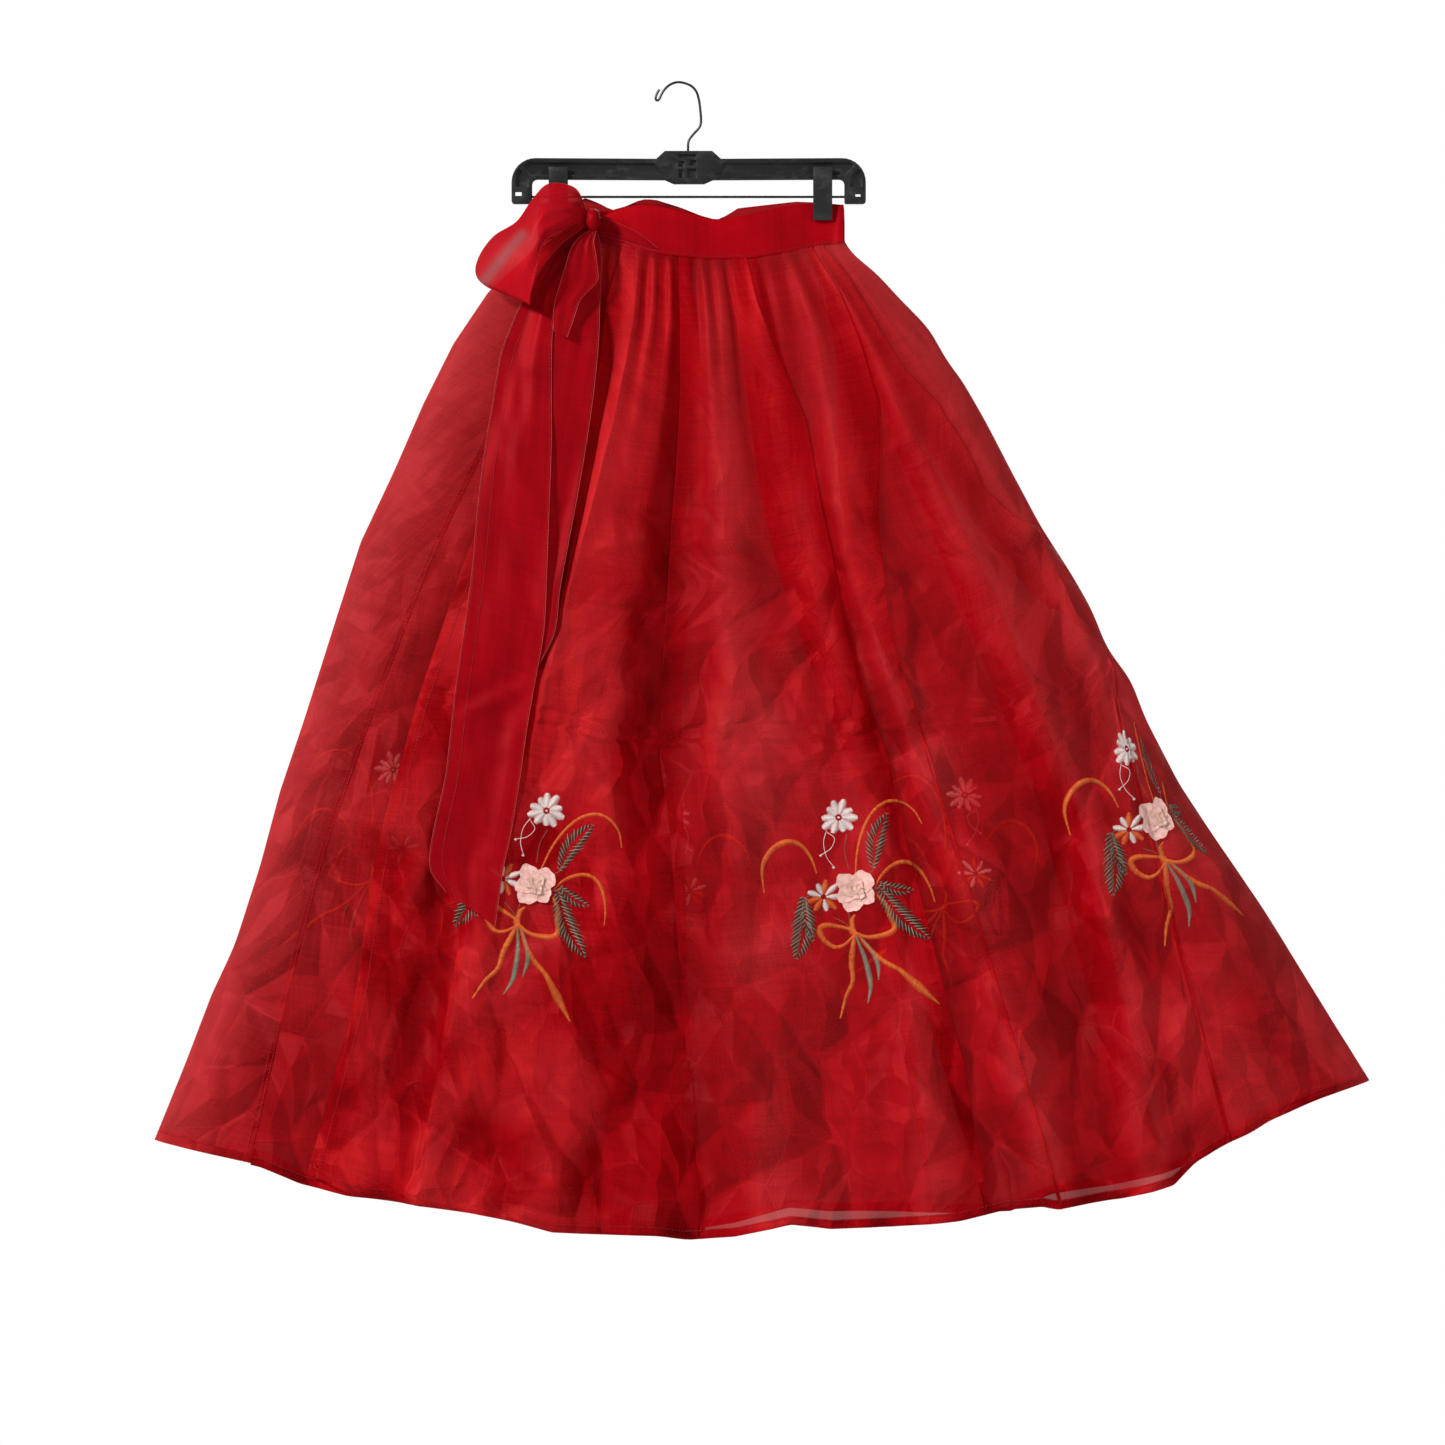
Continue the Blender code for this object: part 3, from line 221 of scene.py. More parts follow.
# how much lighter or darker each of these makes the cloth
CLOUD_TONE = 0.2
SLUB_TONE = 0.26
WEAVE_TONE = 0.08
# painted shade in the fold valleys, and painted light on the ridges
HOLLOW_PAINTED_SHADE = 0.38
# painted highlight along the creases between facets
CREASE_PAINTED_HIGHLIGHT = 0.1
# painted pale light where the cloth is single at the outlines or on a ridge, and painted sheen above the tone
# threshold
PAINTED_PALE_SHARE = 0.95
PAINTED_SHEEN_FROM = 0.62
PAINTED_SHEEN_GROWTH = 0.4
# facets to the metre across and along the cut, their slope, the depth of the crease between them, and how much
# painted light or shade sets one apart from the next
PRESSED_FACETS = (
    {"aside": 8.0, "along": 5.5, "rise": 0.44, "groove": 0.0010, "lean": 0.55},
    {"aside": 20.0, "along": 14.0, "rise": 0.34, "groove": 0.0005, "lean": 0.4},
)
FACET_TURN = 2.6
CREASE_REACH = 0.022
# share of the light for shadows that sheer cloth lets straight on, because its yarns scatter it forward
FORWARD_LIGHT = 0.62
SASH_FORWARD_LIGHT = 0.15


def organza(name, lit, through, share=0.26, pressed=True):
    """Sheer cloth: part of the light goes between the yarns, part is thrown back, part shines through."""
    cloth = Finish(name)
    place = cloth.node("ShaderNodeUVMap", {"uv_map": "cut"})
    cover, cloud, hollow, press = [cloth.node("ShaderNodeAttribute", {"attribute_name": key}, out=2)
                                   for key in ("cover", "cloud", "hollow", "press")]
    weft_slub = cloth.grain(place, 1.0, WEFT_SLUB, 1.0, flat=True)
    warp_slub = cloth.grain(place, 1.0, WARP_SLUB, 1.0, flat=True)
    slub = weft_slub + warp_slub - 1.0
    weave = cloth.node("ShaderNodeTexWave", {"wave_type": "BANDS", "bands_direction": "Y"}, {
        "Vector": place, "Scale": WEAVE_SCALE, "Distortion": 2.0, "Detail": 0.0})
    open_cover = cover + slub * SLUB_COVER
    height = slub * SLUB_HEIGHT
    painted_facet_light = 0.0
    for row in PRESSED_FACETS if pressed else ():
        spread = cloth.node("ShaderNodeMapping", {}, {
            "Vector": place, "Scale": (row["aside"], row["along"], 1.0),
            "Rotation": (0.0, 0.0, FACET_TURN * row["rise"])})
        facet = cloth.node("ShaderNodeTexVoronoi", {"feature": "DISTANCE_TO_EDGE", "voronoi_dimensions": "2D"},
                           {"Vector": spread, "Scale": 1.0})
        crease = cloth.node("ShaderNodeMapRange", {}, {
            "Value": facet, "From Max": CREASE_REACH, "To Min": 1.0, "To Max": 0.0}) * press
        height = height + facet * press * (row["rise"] / row["aside"]) + crease * row["groove"]
        # each facet painted lighter or darker at random, standing in for the light and shade of its slope
        chance = cloth.node("ShaderNodeTexVoronoi", {"voronoi_dimensions": "2D"},
                            {"Vector": spread, "Scale": 1.0}, out=1)
        patch = cloth.node("ShaderNodeSeparateColor", {}, {"Color": chance})
        painted_facet_light = crease * CREASE_PAINTED_HIGHLIGHT + (patch - 0.5) * press * row["lean"] + painted_facet_light
    yarn_tone = 0.5 + cloud * CLOUD_TONE + slub * SLUB_TONE + (weave - 0.5) * WEAVE_TONE
    # darker in the fold hollows and lighter on the ridges: painted shade and painted light
    tone = yarn_tone - hollow * HOLLOW_PAINTED_SHADE + painted_facet_light
    dark, light = [tuple(min(spread * c, 1.0) for c in lit) for spread in SHADE_SPREAD]
    lit_shade = cloth.mix(tone, dark, light)
    if pressed:
        # painted light: the pale attribute and the lighter facets mix in a pale pinkish haze
        pale = cloth.node("ShaderNodeAttribute", {"attribute_name": "pale"}, out=2)
        lit_shade = cloth.mix(pale * PAINTED_PALE_SHARE + (tone - PAINTED_SHEEN_FROM) * PAINTED_SHEEN_GROWTH, lit_shade, PAINTED_PALE_LIGHT)
    bump = cloth.node("ShaderNodeBump", {}, {"Strength": 1.0, "Distance": 1.0, "Height": height})
    face = cloth.node("ShaderNodeBsdfPrincipled", {}, {
        "Base Color": lit_shade, "Metallic": 0.1, "Roughness": 0.52 + weave * 0.06, "Specular IOR Level": 0.05,
        "Normal": bump})
    glow = cloth.node("ShaderNodeBsdfTranslucent", {}, {"Color": (*through, 1.0)})
    yarns = cloth.node("ShaderNodeMixShader", {}, {0: share, 1: face, 2: glow})
    gaps = cloth.node("ShaderNodeBsdfTransparent", {}, {"Color": (*GAP_TINT, 1.0)})
    shadow = cloth.node("ShaderNodeLightPath", out="Is Shadow Ray")
    stopped = open_cover * (1.0 - shadow * (FORWARD_LIGHT if pressed else SASH_FORWARD_LIGHT))
    return cloth.done(cloth.node("ShaderNodeMixShader", {}, {0: stopped, 1: gaps, 2: yarns}))


red_organza = organza("red_organza", ORGANZA_LIT, ORGANZA_THROUGH)

# Cut of the skirt, in millimetres across and down on its front drawing: side outlines, seams, hems and
# fold lines, as the panels were made
DEPTH_TABLE = {
    "share": (0.0, 0.04, 0.10, 0.20, 0.35, 0.60, 0.80, 1.0),
    "front": (10.0, 15.0, 26.0, 40.0, 54.0, 70.0, 80.0, 88.0),
    "back": (9.0, 11.0, 16.0, 24.0, 34.0, 44.0, 50.0, 56.0),
}
SECTION_POWER = 4.0
GATHER_SHARE = (0.0, 0.018, 0.045, 0.08, 0.125, 0.18, 0.25, 0.33, 0.43)
GATHER_DEPTH = (0.25, 2.6, 3.4, 2.5, 1.5, 0.9, 0.5, 0.2, 0.0)
OUTLINE_LEFT = {
    "down": (240, 290, 342, 402, 471, 541, 619, 720, 791, 866, 947, 996, 1067, 1141),
    "across": (540, 487, 452, 422, 392, 359, 334, 302, 278, 258, 232, 209, 182, 152),
}
OUTLINE_RIGHT = {
    "down": (240, 255, 266, 296, 326, 359, 378, 418, 474, 525, 573, 608, 648, 680, 720, 783, 841, 906, 1082),
    "across": (844.4, 855, 873, 900, 930, 948, 963, 986, 1015, 1042, 1073, 1093, 1109, 1133, 1148, 1181,
               1219, 1264, 1373),
}
SEAM_LINE = {
    "across": (538, 575, 609, 641, 668, 708, 748, 788, 823, 846),
    "down": (236, 237, 241, 249, 253, 257, 256, 250, 242, 240),
}
HEM_FRONT = {
    "across": (302, 350, 400, 442, 480, 519, 553, 616, 660, 688, 734, 790, 830, 892, 960, 1000, 1040, 1056,
               1119, 1174, 1200, 1240, 1264, 1330, 1373),
    "down": (1171, 1190, 1198, 1203, 1210, 1218, 1228, 1231, 1233, 1237, 1233, 1220, 1225, 1223, 1217, 1208,
             1203, 1206, 1196, 1182, 1160, 1140, 1131, 1099, 1082),
}
HEM_BACK = {
    "across": (152, 181, 231, 262, 294, 362, 442, 519, 553, 616, 688, 734, 790, 830, 892, 960, 1014, 1056,
               1119, 1174, 1213, 1264, 1330, 1373),
    "down": (1141, 1148, 1159, 1168, 1187, 1199, 1211, 1223, 1240, 1241, 1236, 1229, 1214, 1218, 1217, 1218,
             1217, 1200, 1190, 1178, 1165, 1139, 1105, 1082),
}
HEM_UNDER = {
    "across": (152, 231, 262, 302, 350, 442, 560, 640, 705),
    "down": (1141, 1159, 1166, 1182, 1193, 1205, 1222, 1226, 1228),
}
FOLD_LEVELS = (245, 320, 420, 560, 700, 850, 1000, 1200)
# the panels' fold lines: half gathers up to the next line, its place across at the levels (None follows the
# outline), and how far it stands out (-) or in there
FOLD_COLUMNS = ("halves", "across", "depth")
FRONT_FOLDS = [dict(zip(FOLD_COLUMNS, row)) for row in (
    (4, (553, 545, 520, 466, 418, 378, 356, 302), (0, 0, 0, 0, 0, 0, 0, 0)),
    (6, (578, 566, 548, 504, 470, 432, 398, 345), (0, -3, -5, -6, -6, -6, -7, -9)),
    (3, (618, 616, 604, 562, 525, 480, 435, 395), (0, 4, 9, 11, 9, 6, 4, 4)),
    (3, (640, 634, 614, 578, 545, 505, 462, 425), (0, -4, -8, -10, -10, -8, -8, -10)),
    (3, (662, 662, 650, 628, 608, 595, 580, 560), (0, -3, -7, -9, -9, -6, -6, -8)),
    (3, (686, 690, 689, 677, 670, 674, 683, 705), (0, 4, 10, 13, 13, 10, 8, 10)),
    (3, (708, 716, 722, 728, 735, 745, 755, 775), (0, -3, -6, -9, -9, -8, -8, -10)),
    (2, (730, 745, 756, 787, 825, 850, 872, 890), (0, 2, 4, 6, 5, 3, 3, 6)),
    (2, (748, 762, 778, 808, 848, 880, 912, 940), (0, -3, -5, -6, -6, -4, -4, -6)),
    (2, (766, 782, 797, 828, 874, 918, 960, 1003), (0, 2, 6, 8, 9, 10, 10, 12)),
    (2, (786, 815, 833, 850, 900, 950, 1010, 1050), (0, -3, -6, -6, -8, -8, -8, -10)),
    (2, (802, 844, 880, 925, 985, 1062, 1085, 1106), (0, 3, 5, 6, 6, 8, 9, 12)),
    (2, (814, 858, 905, 975, 1040, 1100, 1130, 1150), (0, -3, -5, -8, -8, -8, -6, -9)),
    (2, (825, 872, 940, 1033, 1085, 1122, 1158, 1190), (0, 2, 4, 6, 6, 4, 4, 8)),
    (2, (836, 890, 965, 1050, 1115, 1180, 1235, 1290), (0, -1, -2, -3, -3, -3, -3, -5)),
    (0, None, (0, 0, 0, 0, 0, 0, 0, 0)),
)]
BACK_FOLDS = [dict(zip(FOLD_COLUMNS, row)) for row in (
    (2, None, (0, 0, 0, 0, 0, 0, 0, 0)),
    (3, (834, 884, 955, 1040, 1108, 1178, 1236, 1292), (0, 1, 3, 4, 5, 6, 7, 8)),
    (3, (812, 850, 904, 972, 1030, 1086, 1128, 1168), (0, -2, -4, -5, -6, -6, -7, -8)),
    (2, (776, 800, 836, 884, 930, 976, 1012, 1044), (0, 3, 5, 7, 8, 8, 9, 10)),
    (3, (750, 764, 788, 822, 856, 888, 916, 940), (0, -3, -5, -7, -7, -8, -8, -9)),
    (3, (724, 728, 738, 756, 774, 794, 812, 828), (0, 3, 4, 5, 6, 8, 8, 9)),
    (2, (690, 684, 678, 672, 668, 668, 668, 668), (0, -2, -4, -6, -8, -8, -8, -10)),
    (3, (660, 646, 630, 608, 590, 574, 560, 548), (0, 3, 6, 8, 8, 9, 9, 11)),
    (3, (624, 598, 572, 532, 500, 466, 440, 420), (0, -2, -4, -6, -6, -6, -7, -8)),
    (2, (588, 554, 520, 466, 420, 376, 338, 306), (0, 2, 4, 5, 6, 6, 7, 8)),
    (2, (556, 508, 466, 404, 352, 306, 262, 218), (0, -1, -1, -2, -2, -2, -3, -3)),
    (0, None, (0, 0, 0, 0, 0, 0, 0, 0)),
)]
JOIN_LINE = (547, 530, 498, 432, 378, 326, 287, 243)
BAND_BLEND = 0.06
OUTLINE_SPREAD = 2.2
UNDER_GAP = 8.0
LEAST_GAP = {"share": (0.0, 0.018, 0.045, 0.08, 0.125), "gap": (1.8, 2.2, 4.0, 6.4, 8.0)}
UNDER_LAST_FOLD = 5
LEFT_TURN_OUT = 2.4
GATHER_REACH = {"across": (545, 575, 620, 785, 812, 846), "reach": (0.0, 0.2, 1.0, 1.0, 0.2, 0.2)}
GATHER_FREE_SHARE = 0.1
SEAM_GAP = -3.0
# how the gathers differ in depth from one to the next
GATHER_LEVEL = 0.75
GATHER_SWING = 0.4
GATHER_BEAT = 2.7
# plan of the waistband by its layers: across, and out of the hanger's plane (- towards the viewer)
BAND_PLAN = {
    "inner": ((700, 2.6), (676, 2.4), (650, 1.8), (625, 1.0), (600, 0.4), (580, 0.0), (567, 0.0), (548, 0.0),
              (542, 0.2), (539, 1.4)),
    "back": ((538, 3.0), (539.4, 4.5), (543, 4.4), (548, 1.8), (567, 1.8), (580, 3.6), (600, 6.4), (625, 8.6),
             (650, 10.0), (676, 10.6), (700, 10.2), (725, 9.4), (750, 8.4), (772, 6.8), (790, 4.6), (803, 2.2),
             (813, 0.95), (833, 0.95), (839, 2.6), (843, 2.4)),
    "front": ((844.2, 0.0), (843, -2.4), (839, -2.6), (833, -0.95), (813, -0.95), (803, -2.4), (790, -5.2),
              (772, -7.8), (750, -9.4), (725, -10.4), (700, -11.0), (676, -11.2), (650, -10.4), (625, -8.6),
              (600, -6.0), (580, -3.2), (567, -1.8), (548, -1.8), (541, -2.6)),
}
FINE_GATHER = 7
PANEL_ROW_COUNT = 205
COLUMN_SPACING = 3.6


def from_table(table, key, value, given="across"):
    return np.interp(value, table[given], table[key])


def base_depth(across, down, share, side):
    """The skirt's plain section, a flattened round between its two outlines."""
    left = from_table(OUTLINE_LEFT, "across", down, "down")
    right = from_table(OUTLINE_RIGHT, "across", down, "down")
    place = np.clip((2.0 * across - left - right) / (right - left), -1.0, 1.0)
    reach = np.interp(share, DEPTH_TABLE["share"], DEPTH_TABLE[side])
    section = reach * np.sqrt(1.0 - np.abs(place) ** SECTION_POWER)
    return -section if side == "front" else section


def band_depth(across, layer):
    places, out = zip(*sorted(BAND_PLAN[layer]))
    return np.interp(across, places, out)


def band_mix(share):
    """0 at the waistband, 1 where the panel hangs free of it."""
    part = np.minimum(np.asarray(share) / BAND_BLEND, 1.0)
    return part * part * (3.0 - 2.0 * part)


def seam_down(across):
    places = sorted({a for a, _ in BAND_PLAN["front"]})
    return np.interp(across, places, from_table(SEAM_LINE, "down", places))


def line_at(fold, outline, down):
    if fold["across"] is None:
        return from_table(outline, "across", down, "down")
    return np.interp(down, FOLD_LEVELS, fold["across"])


def under_gap(across, share):
    """How far the underlap lies behind the front panel."""
    held = band_depth(across, "inner") - band_depth(across, "front")
    gap = held + (UNDER_GAP - held) * band_mix(share)
    return np.maximum(gap, np.interp(share, LEAST_GAP["share"], LEAST_GAP["gap"]))


def softened_rows(sheet, reach=2.0):
    """Evens out the kinks that a table leaves from row to row, and keeps the first and last row."""
    width = int(3 * reach)
    weights = np.exp(-0.5 * (np.arange(-width, width + 1) / reach) ** 2)
    weights /= weights.sum()
    above = 2 * sheet[:1] - sheet[width:0:-1]
    below = 2 * sheet[-1:] - sheet[-2:-width - 2:-1]
    padded = np.concatenate([above, sheet, below])
    soft = sum(w * padded[i:i + len(sheet)] for i, w in enumerate(weights))
    soft[0], soft[-1] = sheet[0], sheet[-1]
    return soft


def gathered(folds, outlines, hem, side, shares):
    """Across, out and down of a gathered panel, rows by columns, along its fold lines."""
    across_all, out_all, down_all = [], [], []
    halves_before = 0.0
    for index in range(len(folds)):
        first, last = folds[index], folds[min(index + 1, len(folds) - 1)]
        count = max(first["halves"] * FINE_GATHER, 1) if index < len(folds) - 1 else 1
        for step in range(count):
            part = step / count
            halves = halves_before + first["halves"] * part
            if index < len(folds) - 1 and last["across"] is None:
                part = 1.0 - (1.0 - part) ** OUTLINE_SPREAD
            elif index < len(folds) - 1 and first["across"] is None:
                part = part ** OUTLINE_SPREAD
            sides = outlines[index], outlines[min(index + 1, len(folds) - 1)]
            ends = []
            for level in (FOLD_LEVELS[0], FOLD_LEVELS[-1]):
                a, b = line_at(first, sides[0], level), line_at(last, sides[1], level)
                ends.append(a + (b - a) * part)
            top = seam_down(ends[0]) + SEAM_GAP
            down = top + (from_table(hem, "down", ends[1]) - top) * shares
            a, b = line_at(first, sides[0], down), line_at(last, sides[1], down)
            across = a + (b - a) * part
            blend = part * part * (3.0 - 2.0 * part)
            fold_a = np.interp(down, FOLD_LEVELS, first["depth"])
            fold_b = np.interp(down, FOLD_LEVELS, last["depth"])
            uneven = GATHER_LEVEL + GATHER_SWING * math.sin(GATHER_BEAT * math.floor(halves + 0.5))
            wave = math.cos(math.pi * halves) * uneven
            wave *= part if first["across"] is None else 1.0
            wave *= 1.0 - part if last["across"] is None else 1.0
            held = float(np.interp(ends[0], GATHER_REACH["across"], GATHER_REACH["reach"]))
            reach = held + (1.0 - held) * np.minimum(shares / GATHER_FREE_SHARE, 1.0)
            gather = np.interp(shares, GATHER_SHARE, GATHER_DEPTH) * wave * reach
            at_band = band_depth(across, side)
            out = at_band + (base_depth(across, down, shares, side) - at_band) * band_mix(shares)
            out = out + fold_a + (fold_b - fold_a) * blend + (gather if side == "front" else -gather)
            across_all.append(across)
            out_all.append(out)
            down_all.append(down)
        halves_before += first["halves"]
    return [softened_rows(np.stack(values, axis=1)) for values in (across_all, out_all, down_all)]


# A pressed-in lap: the cloth runs to one crisp edge, back under itself to the other, and on again
LAP_PATH = (
    (0.0, -1.0), (0.33, -1.0), (0.66, -1.0), (0.96, -1.0), (0.985, -1.0), (1.0, -0.8), (1.004, -0.5),
    (1.0, -0.2), (0.985, 0.0), (0.96, 0.0), (0.5, 0.0), (0.04, 0.0), (0.015, 0.0), (0.0, 0.2), (-0.004, 0.5),
    (0.0, 0.8), (0.015, 1.0), (0.04, 1.0), (0.5, 1.0), (1.0, 1.0),
)
LAP_STEP = {"width": (0.0, 4.0, 15.0, 60.0), "step": (0.15, 0.7, 1.5, 1.9)}
HEM_TURN_PATH = (
    (0.06, 0.5), (0.5, 0.5), (0.92, 0.5), (0.99, 0.62), (1.0, 0.75), (0.99, 0.9), (0.94, 1.0), (0.5, 1.0),
    (0.06, 1.0), (-0.01, 0.8), (-0.02, 0.5), (-0.01, 0.2), (0.06, 0.0),
)
HEM_TURN_STEP = 1.2


class Columns:
    """Columns of a sheet, each given by its place across on every row and how far it is set back."""

    def __init__(self, relief, rows):
        self.across, self.out, self.down = relief
        self.rows = rows
        self.places = []
        self.backs = []

    def level(self, line):
        """Places of a line, given as levels and across, on the rows of the sheet."""
        down = self.down.mean(axis=1)
        for _ in range(3):
            places = np.interp(down, line["down"], line["across"])
            down = self.look(places, self.down)
        return places

    def look(self, places, values):
        found = np.empty(self.rows)
        step = 1 if self.across[-1, -1] > self.across[-1, 0] else -1
        for r in range(self.rows):
            found[r] = np.interp(places[r], self.across[r, ::step], values[r, ::step])
        return found

    def add(self, place, back):
        self.places.append(np.asarray(place, float))
        self.backs.append(np.broadcast_to(np.asarray(back, float), (self.rows,)))

    def run(self, to, back_to, spread=None):
        """Even columns from the last one to another place."""
        start, back = self.places[-1], self.backs[-1]
        count = max(int(np.abs(to - start).max() / COLUMN_SPACING), 3)
        for step in range(1, count + 1):
            part = step / count
            part = 1.0 - (1.0 - part) ** spread if spread else part
            self.add(start + (to - start) * part, back + (back_to - back) * part)

    def lap(self, left, right, over):
        """A lap between two edges, met in the order in which the columns run."""
        width = np.abs(right - left)
        step = np.interp(width, LAP_STEP["width"], LAP_STEP["step"]) * over
        self.run(left, -step)
        for part, layer in LAP_PATH[1:]:
            self.add(left + (right - left) * part, step * layer)

    def sheet(self, forward):
        """Points, rows by columns, in millimetres: across, out and down. forward is -1 on a front layer."""
        points = np.empty((self.rows, len(self.places), 3))
        for c, (place, back) in enumerate(zip(self.places, self.backs)):
            points[:, c, 0] = place
            points[:, c, 1] = self.look(place, self.out) - forward * back
            points[:, c, 2] = self.look(place, self.down)
        return points


def turned_edge(columns, edge, width, towards):
    """A narrow hem turned twice along the first edge of a sheet, its turns at the back."""
    for part, layer in HEM_TURN_PATH:
        columns.add(edge + towards * width * part, HEM_TURN_STEP * layer)


def turned_hem(points, width, forward):
    """Adds the hem of a sheet: its last rows turned up twice on the inner side."""
    last = points[-1:]
    up = points[-2:-1] - last
    up /= np.linalg.norm(up, axis=2, keepdims=True)
    rows = [points]
    for part, layer in reversed(HEM_TURN_PATH[:-1]):
        row = last + up * width * part
        row[..., 1] -= forward * HEM_TURN_STEP * layer
        rows.append(row)
    return np.concatenate(rows)


# Stiff organza keeps the marks of folding and crushing: long creases, a slow swell between them, and flat
# facets with crisp edges, all pressed into the sheets below
CREASE_HEIGHT = 1.5
CREASE_FADE = 0.35
FACET_JITTER = 0.42
FACET_LENGTH = 1.25
FAN_WIDTH = 1050.0
FACET_FIELD = {"across": (-850.0, 850.0), "down": (150.0, 1450.0)}


def creased(points, creases, forward):
    """Presses creases into a sheet: a crest or a trough from end to end, sloping away on both sides."""
    across, down = points[..., 0], points[..., 2]
    raised = np.zeros_like(across)
    for x0, y0, x1, y1, width, height in creases:
        length = math.hypot(x1 - x0, y1 - y0)
        along = ((across - x0) * (x1 - x0) + (down - y0) * (y1 - y0)) / length
        aside = np.abs((across - x0) * (y1 - y0) - (down - y0) * (x1 - x0)) / length
        ends = np.clip(np.minimum(along, length - along) / (CREASE_FADE * length) + 0.15, 0.0, 1.0)
        reach = width * (CREASE_FADE + (1.0 - CREASE_FADE) * ends)
        raised += CREASE_HEIGHT * height * ends * np.clip(1.0 - aside / reach, 0.0, 1.0)
    points[..., 1] += forward * raised


def rumpled(points, height, span, seed, forward):
    """Lets a sheet wander a little, as stiff cloth does between its creases."""
    flat = points.reshape(-1, 3)
    shift = np.array([noise.noise(Vector((x / span, z / (1.6 * span), seed))) for x, _, z in flat])
    flat[:, 1] += forward * height * shift


PRESS_GROWTH = {"down": (240, 330, 450, 620, 760, 1250), "part": (0.03, 0.07, 0.18, 0.5, 0.85, 1.0)}
FACET_GROWTH = {"down": (240, 330, 450, 620, 760, 1250), "part": (0.04, 0.10, 0.25, 0.55, 0.9, 1.0)}


def crumpled(points, span, height, seed, forward, even=0.0):
    """Presses flat facets with crisp edges between them into a sheet, as crushed organza has."""
    flat = points.reshape(-1, 3)
    left = from_table(OUTLINE_LEFT, "across", flat[:, 2], "down")
    right = from_table(OUTLINE_RIGHT, "across", flat[:, 2], "down")
    fan = (flat[:, 0] - (left + right) / 2.0) * (1.0 + FAN_WIDTH / (right - left)) / 2.0
    pick = np.random.default_rng(seed)
    knots, tops = [], []
    (field_left, field_right), (field_top, field_foot) = FACET_FIELD["across"], FACET_FIELD["down"]
    for i in range(int((field_right - field_left) / span) + 1):
        for j in range(int((field_foot - field_top) / (FACET_LENGTH * span)) + 1):
            aside, along = [pick.uniform(-FACET_JITTER, FACET_JITTER) for _ in range(2)]
            knots.append(Vector((field_left + span * (i + 0.5 * (j % 2) + aside),
                                 field_top + FACET_LENGTH * span * (j + along))))
            tops.append(pick.uniform(-1.0, 1.0))
    net = delaunay_2d_cdt(knots, [], [], 0, 1e-5)
    place = {(round(k.x, 3), round(k.y, 3)): t for k, t in zip(knots, tops)}
    peaks = [(v.x, v.y, place[(round(v.x, 3), round(v.y, 3))]) for v in net[0]]
    facets = BVHTree.FromPolygons(peaks, net[2])
    for point, u in zip(flat, fan):
        hit = facets.ray_cast(Vector((u, point[2], 9.0)), Vector((0.0, 0.0, -1.0)))[0]
        grown = max(even, np.interp(point[2], FACET_GROWTH["down"], FACET_GROWTH["part"]))
        point[1] += forward * height * grown * (hit.z if hit else 0.0)


def worn(points, creases, swell, facets, forward):
    """Creases, rumples and crumples a sheet: swell and facets are rows with their sizes named."""
    creased(points, creases, forward)
    rumpled(points, swell["height"], swell["span"], swell["seed"], forward)
    for row in facets:
        crumpled(points, row["span"], row["height"], row["seed"], forward, row.get("even", 0.0))


def in_metres(points):
    """From across, out and down on the drawing to the row's own frame."""
    return np.stack([points[..., 0] - REST_ACROSS, points[..., 1], REST_DOWN - points[..., 2]], axis=-1) * MM


SIDE_THINNING = 0.13
LEFT_REACH = 60.0
RIGHT_REACH = 36.0
HOLLOW_COVER = 0.09
HOLLOW_DEPTH = 12.0
RIDGE_PAINTED_LIGHT = 0.25
CLOUD_CELL = (40.0, 55.0, 40.0)


def thin_at_sides(points):
    """Near the skirt's outlines the cloth lies flat and single, so more light goes between its yarns."""
    left = points[..., 0] - from_table(OUTLINE_LEFT, "across", points[..., 2], "down")
    right = from_table(OUTLINE_RIGHT, "across", points[..., 2], "down") - points[..., 0]
    return SIDE_THINNING * np.exp(-np.maximum(np.minimum(left / LEFT_REACH, right / RIGHT_REACH), 0.0))


def hollows(points):
    """How deep each place lies in the skirt's folds: 1 in a deep valley, -1 on a ridge."""
    across, out, down = points[..., 0], points[..., 1], points[..., 2]
    top = from_table(SEAM_LINE, "down", across)
    share = np.clip((down - top) / (from_table(HEM_FRONT, "down", across) - top), 0.0, 1.0)
    depth = []
    for side in ("front", "back"):
        held = band_depth(across, side)
        plain = held + (base_depth(across, down, share, side) - held) * band_mix(share)
        depth.append(out - plain if side == "front" else plain - out)
    front = out < (base_depth(across, down, share, "front") + base_depth(across, down, share, "back")) / 2.0
    return np.clip(np.where(front, depth[0], depth[1]) / HOLLOW_DEPTH, -1.0, 1.0)


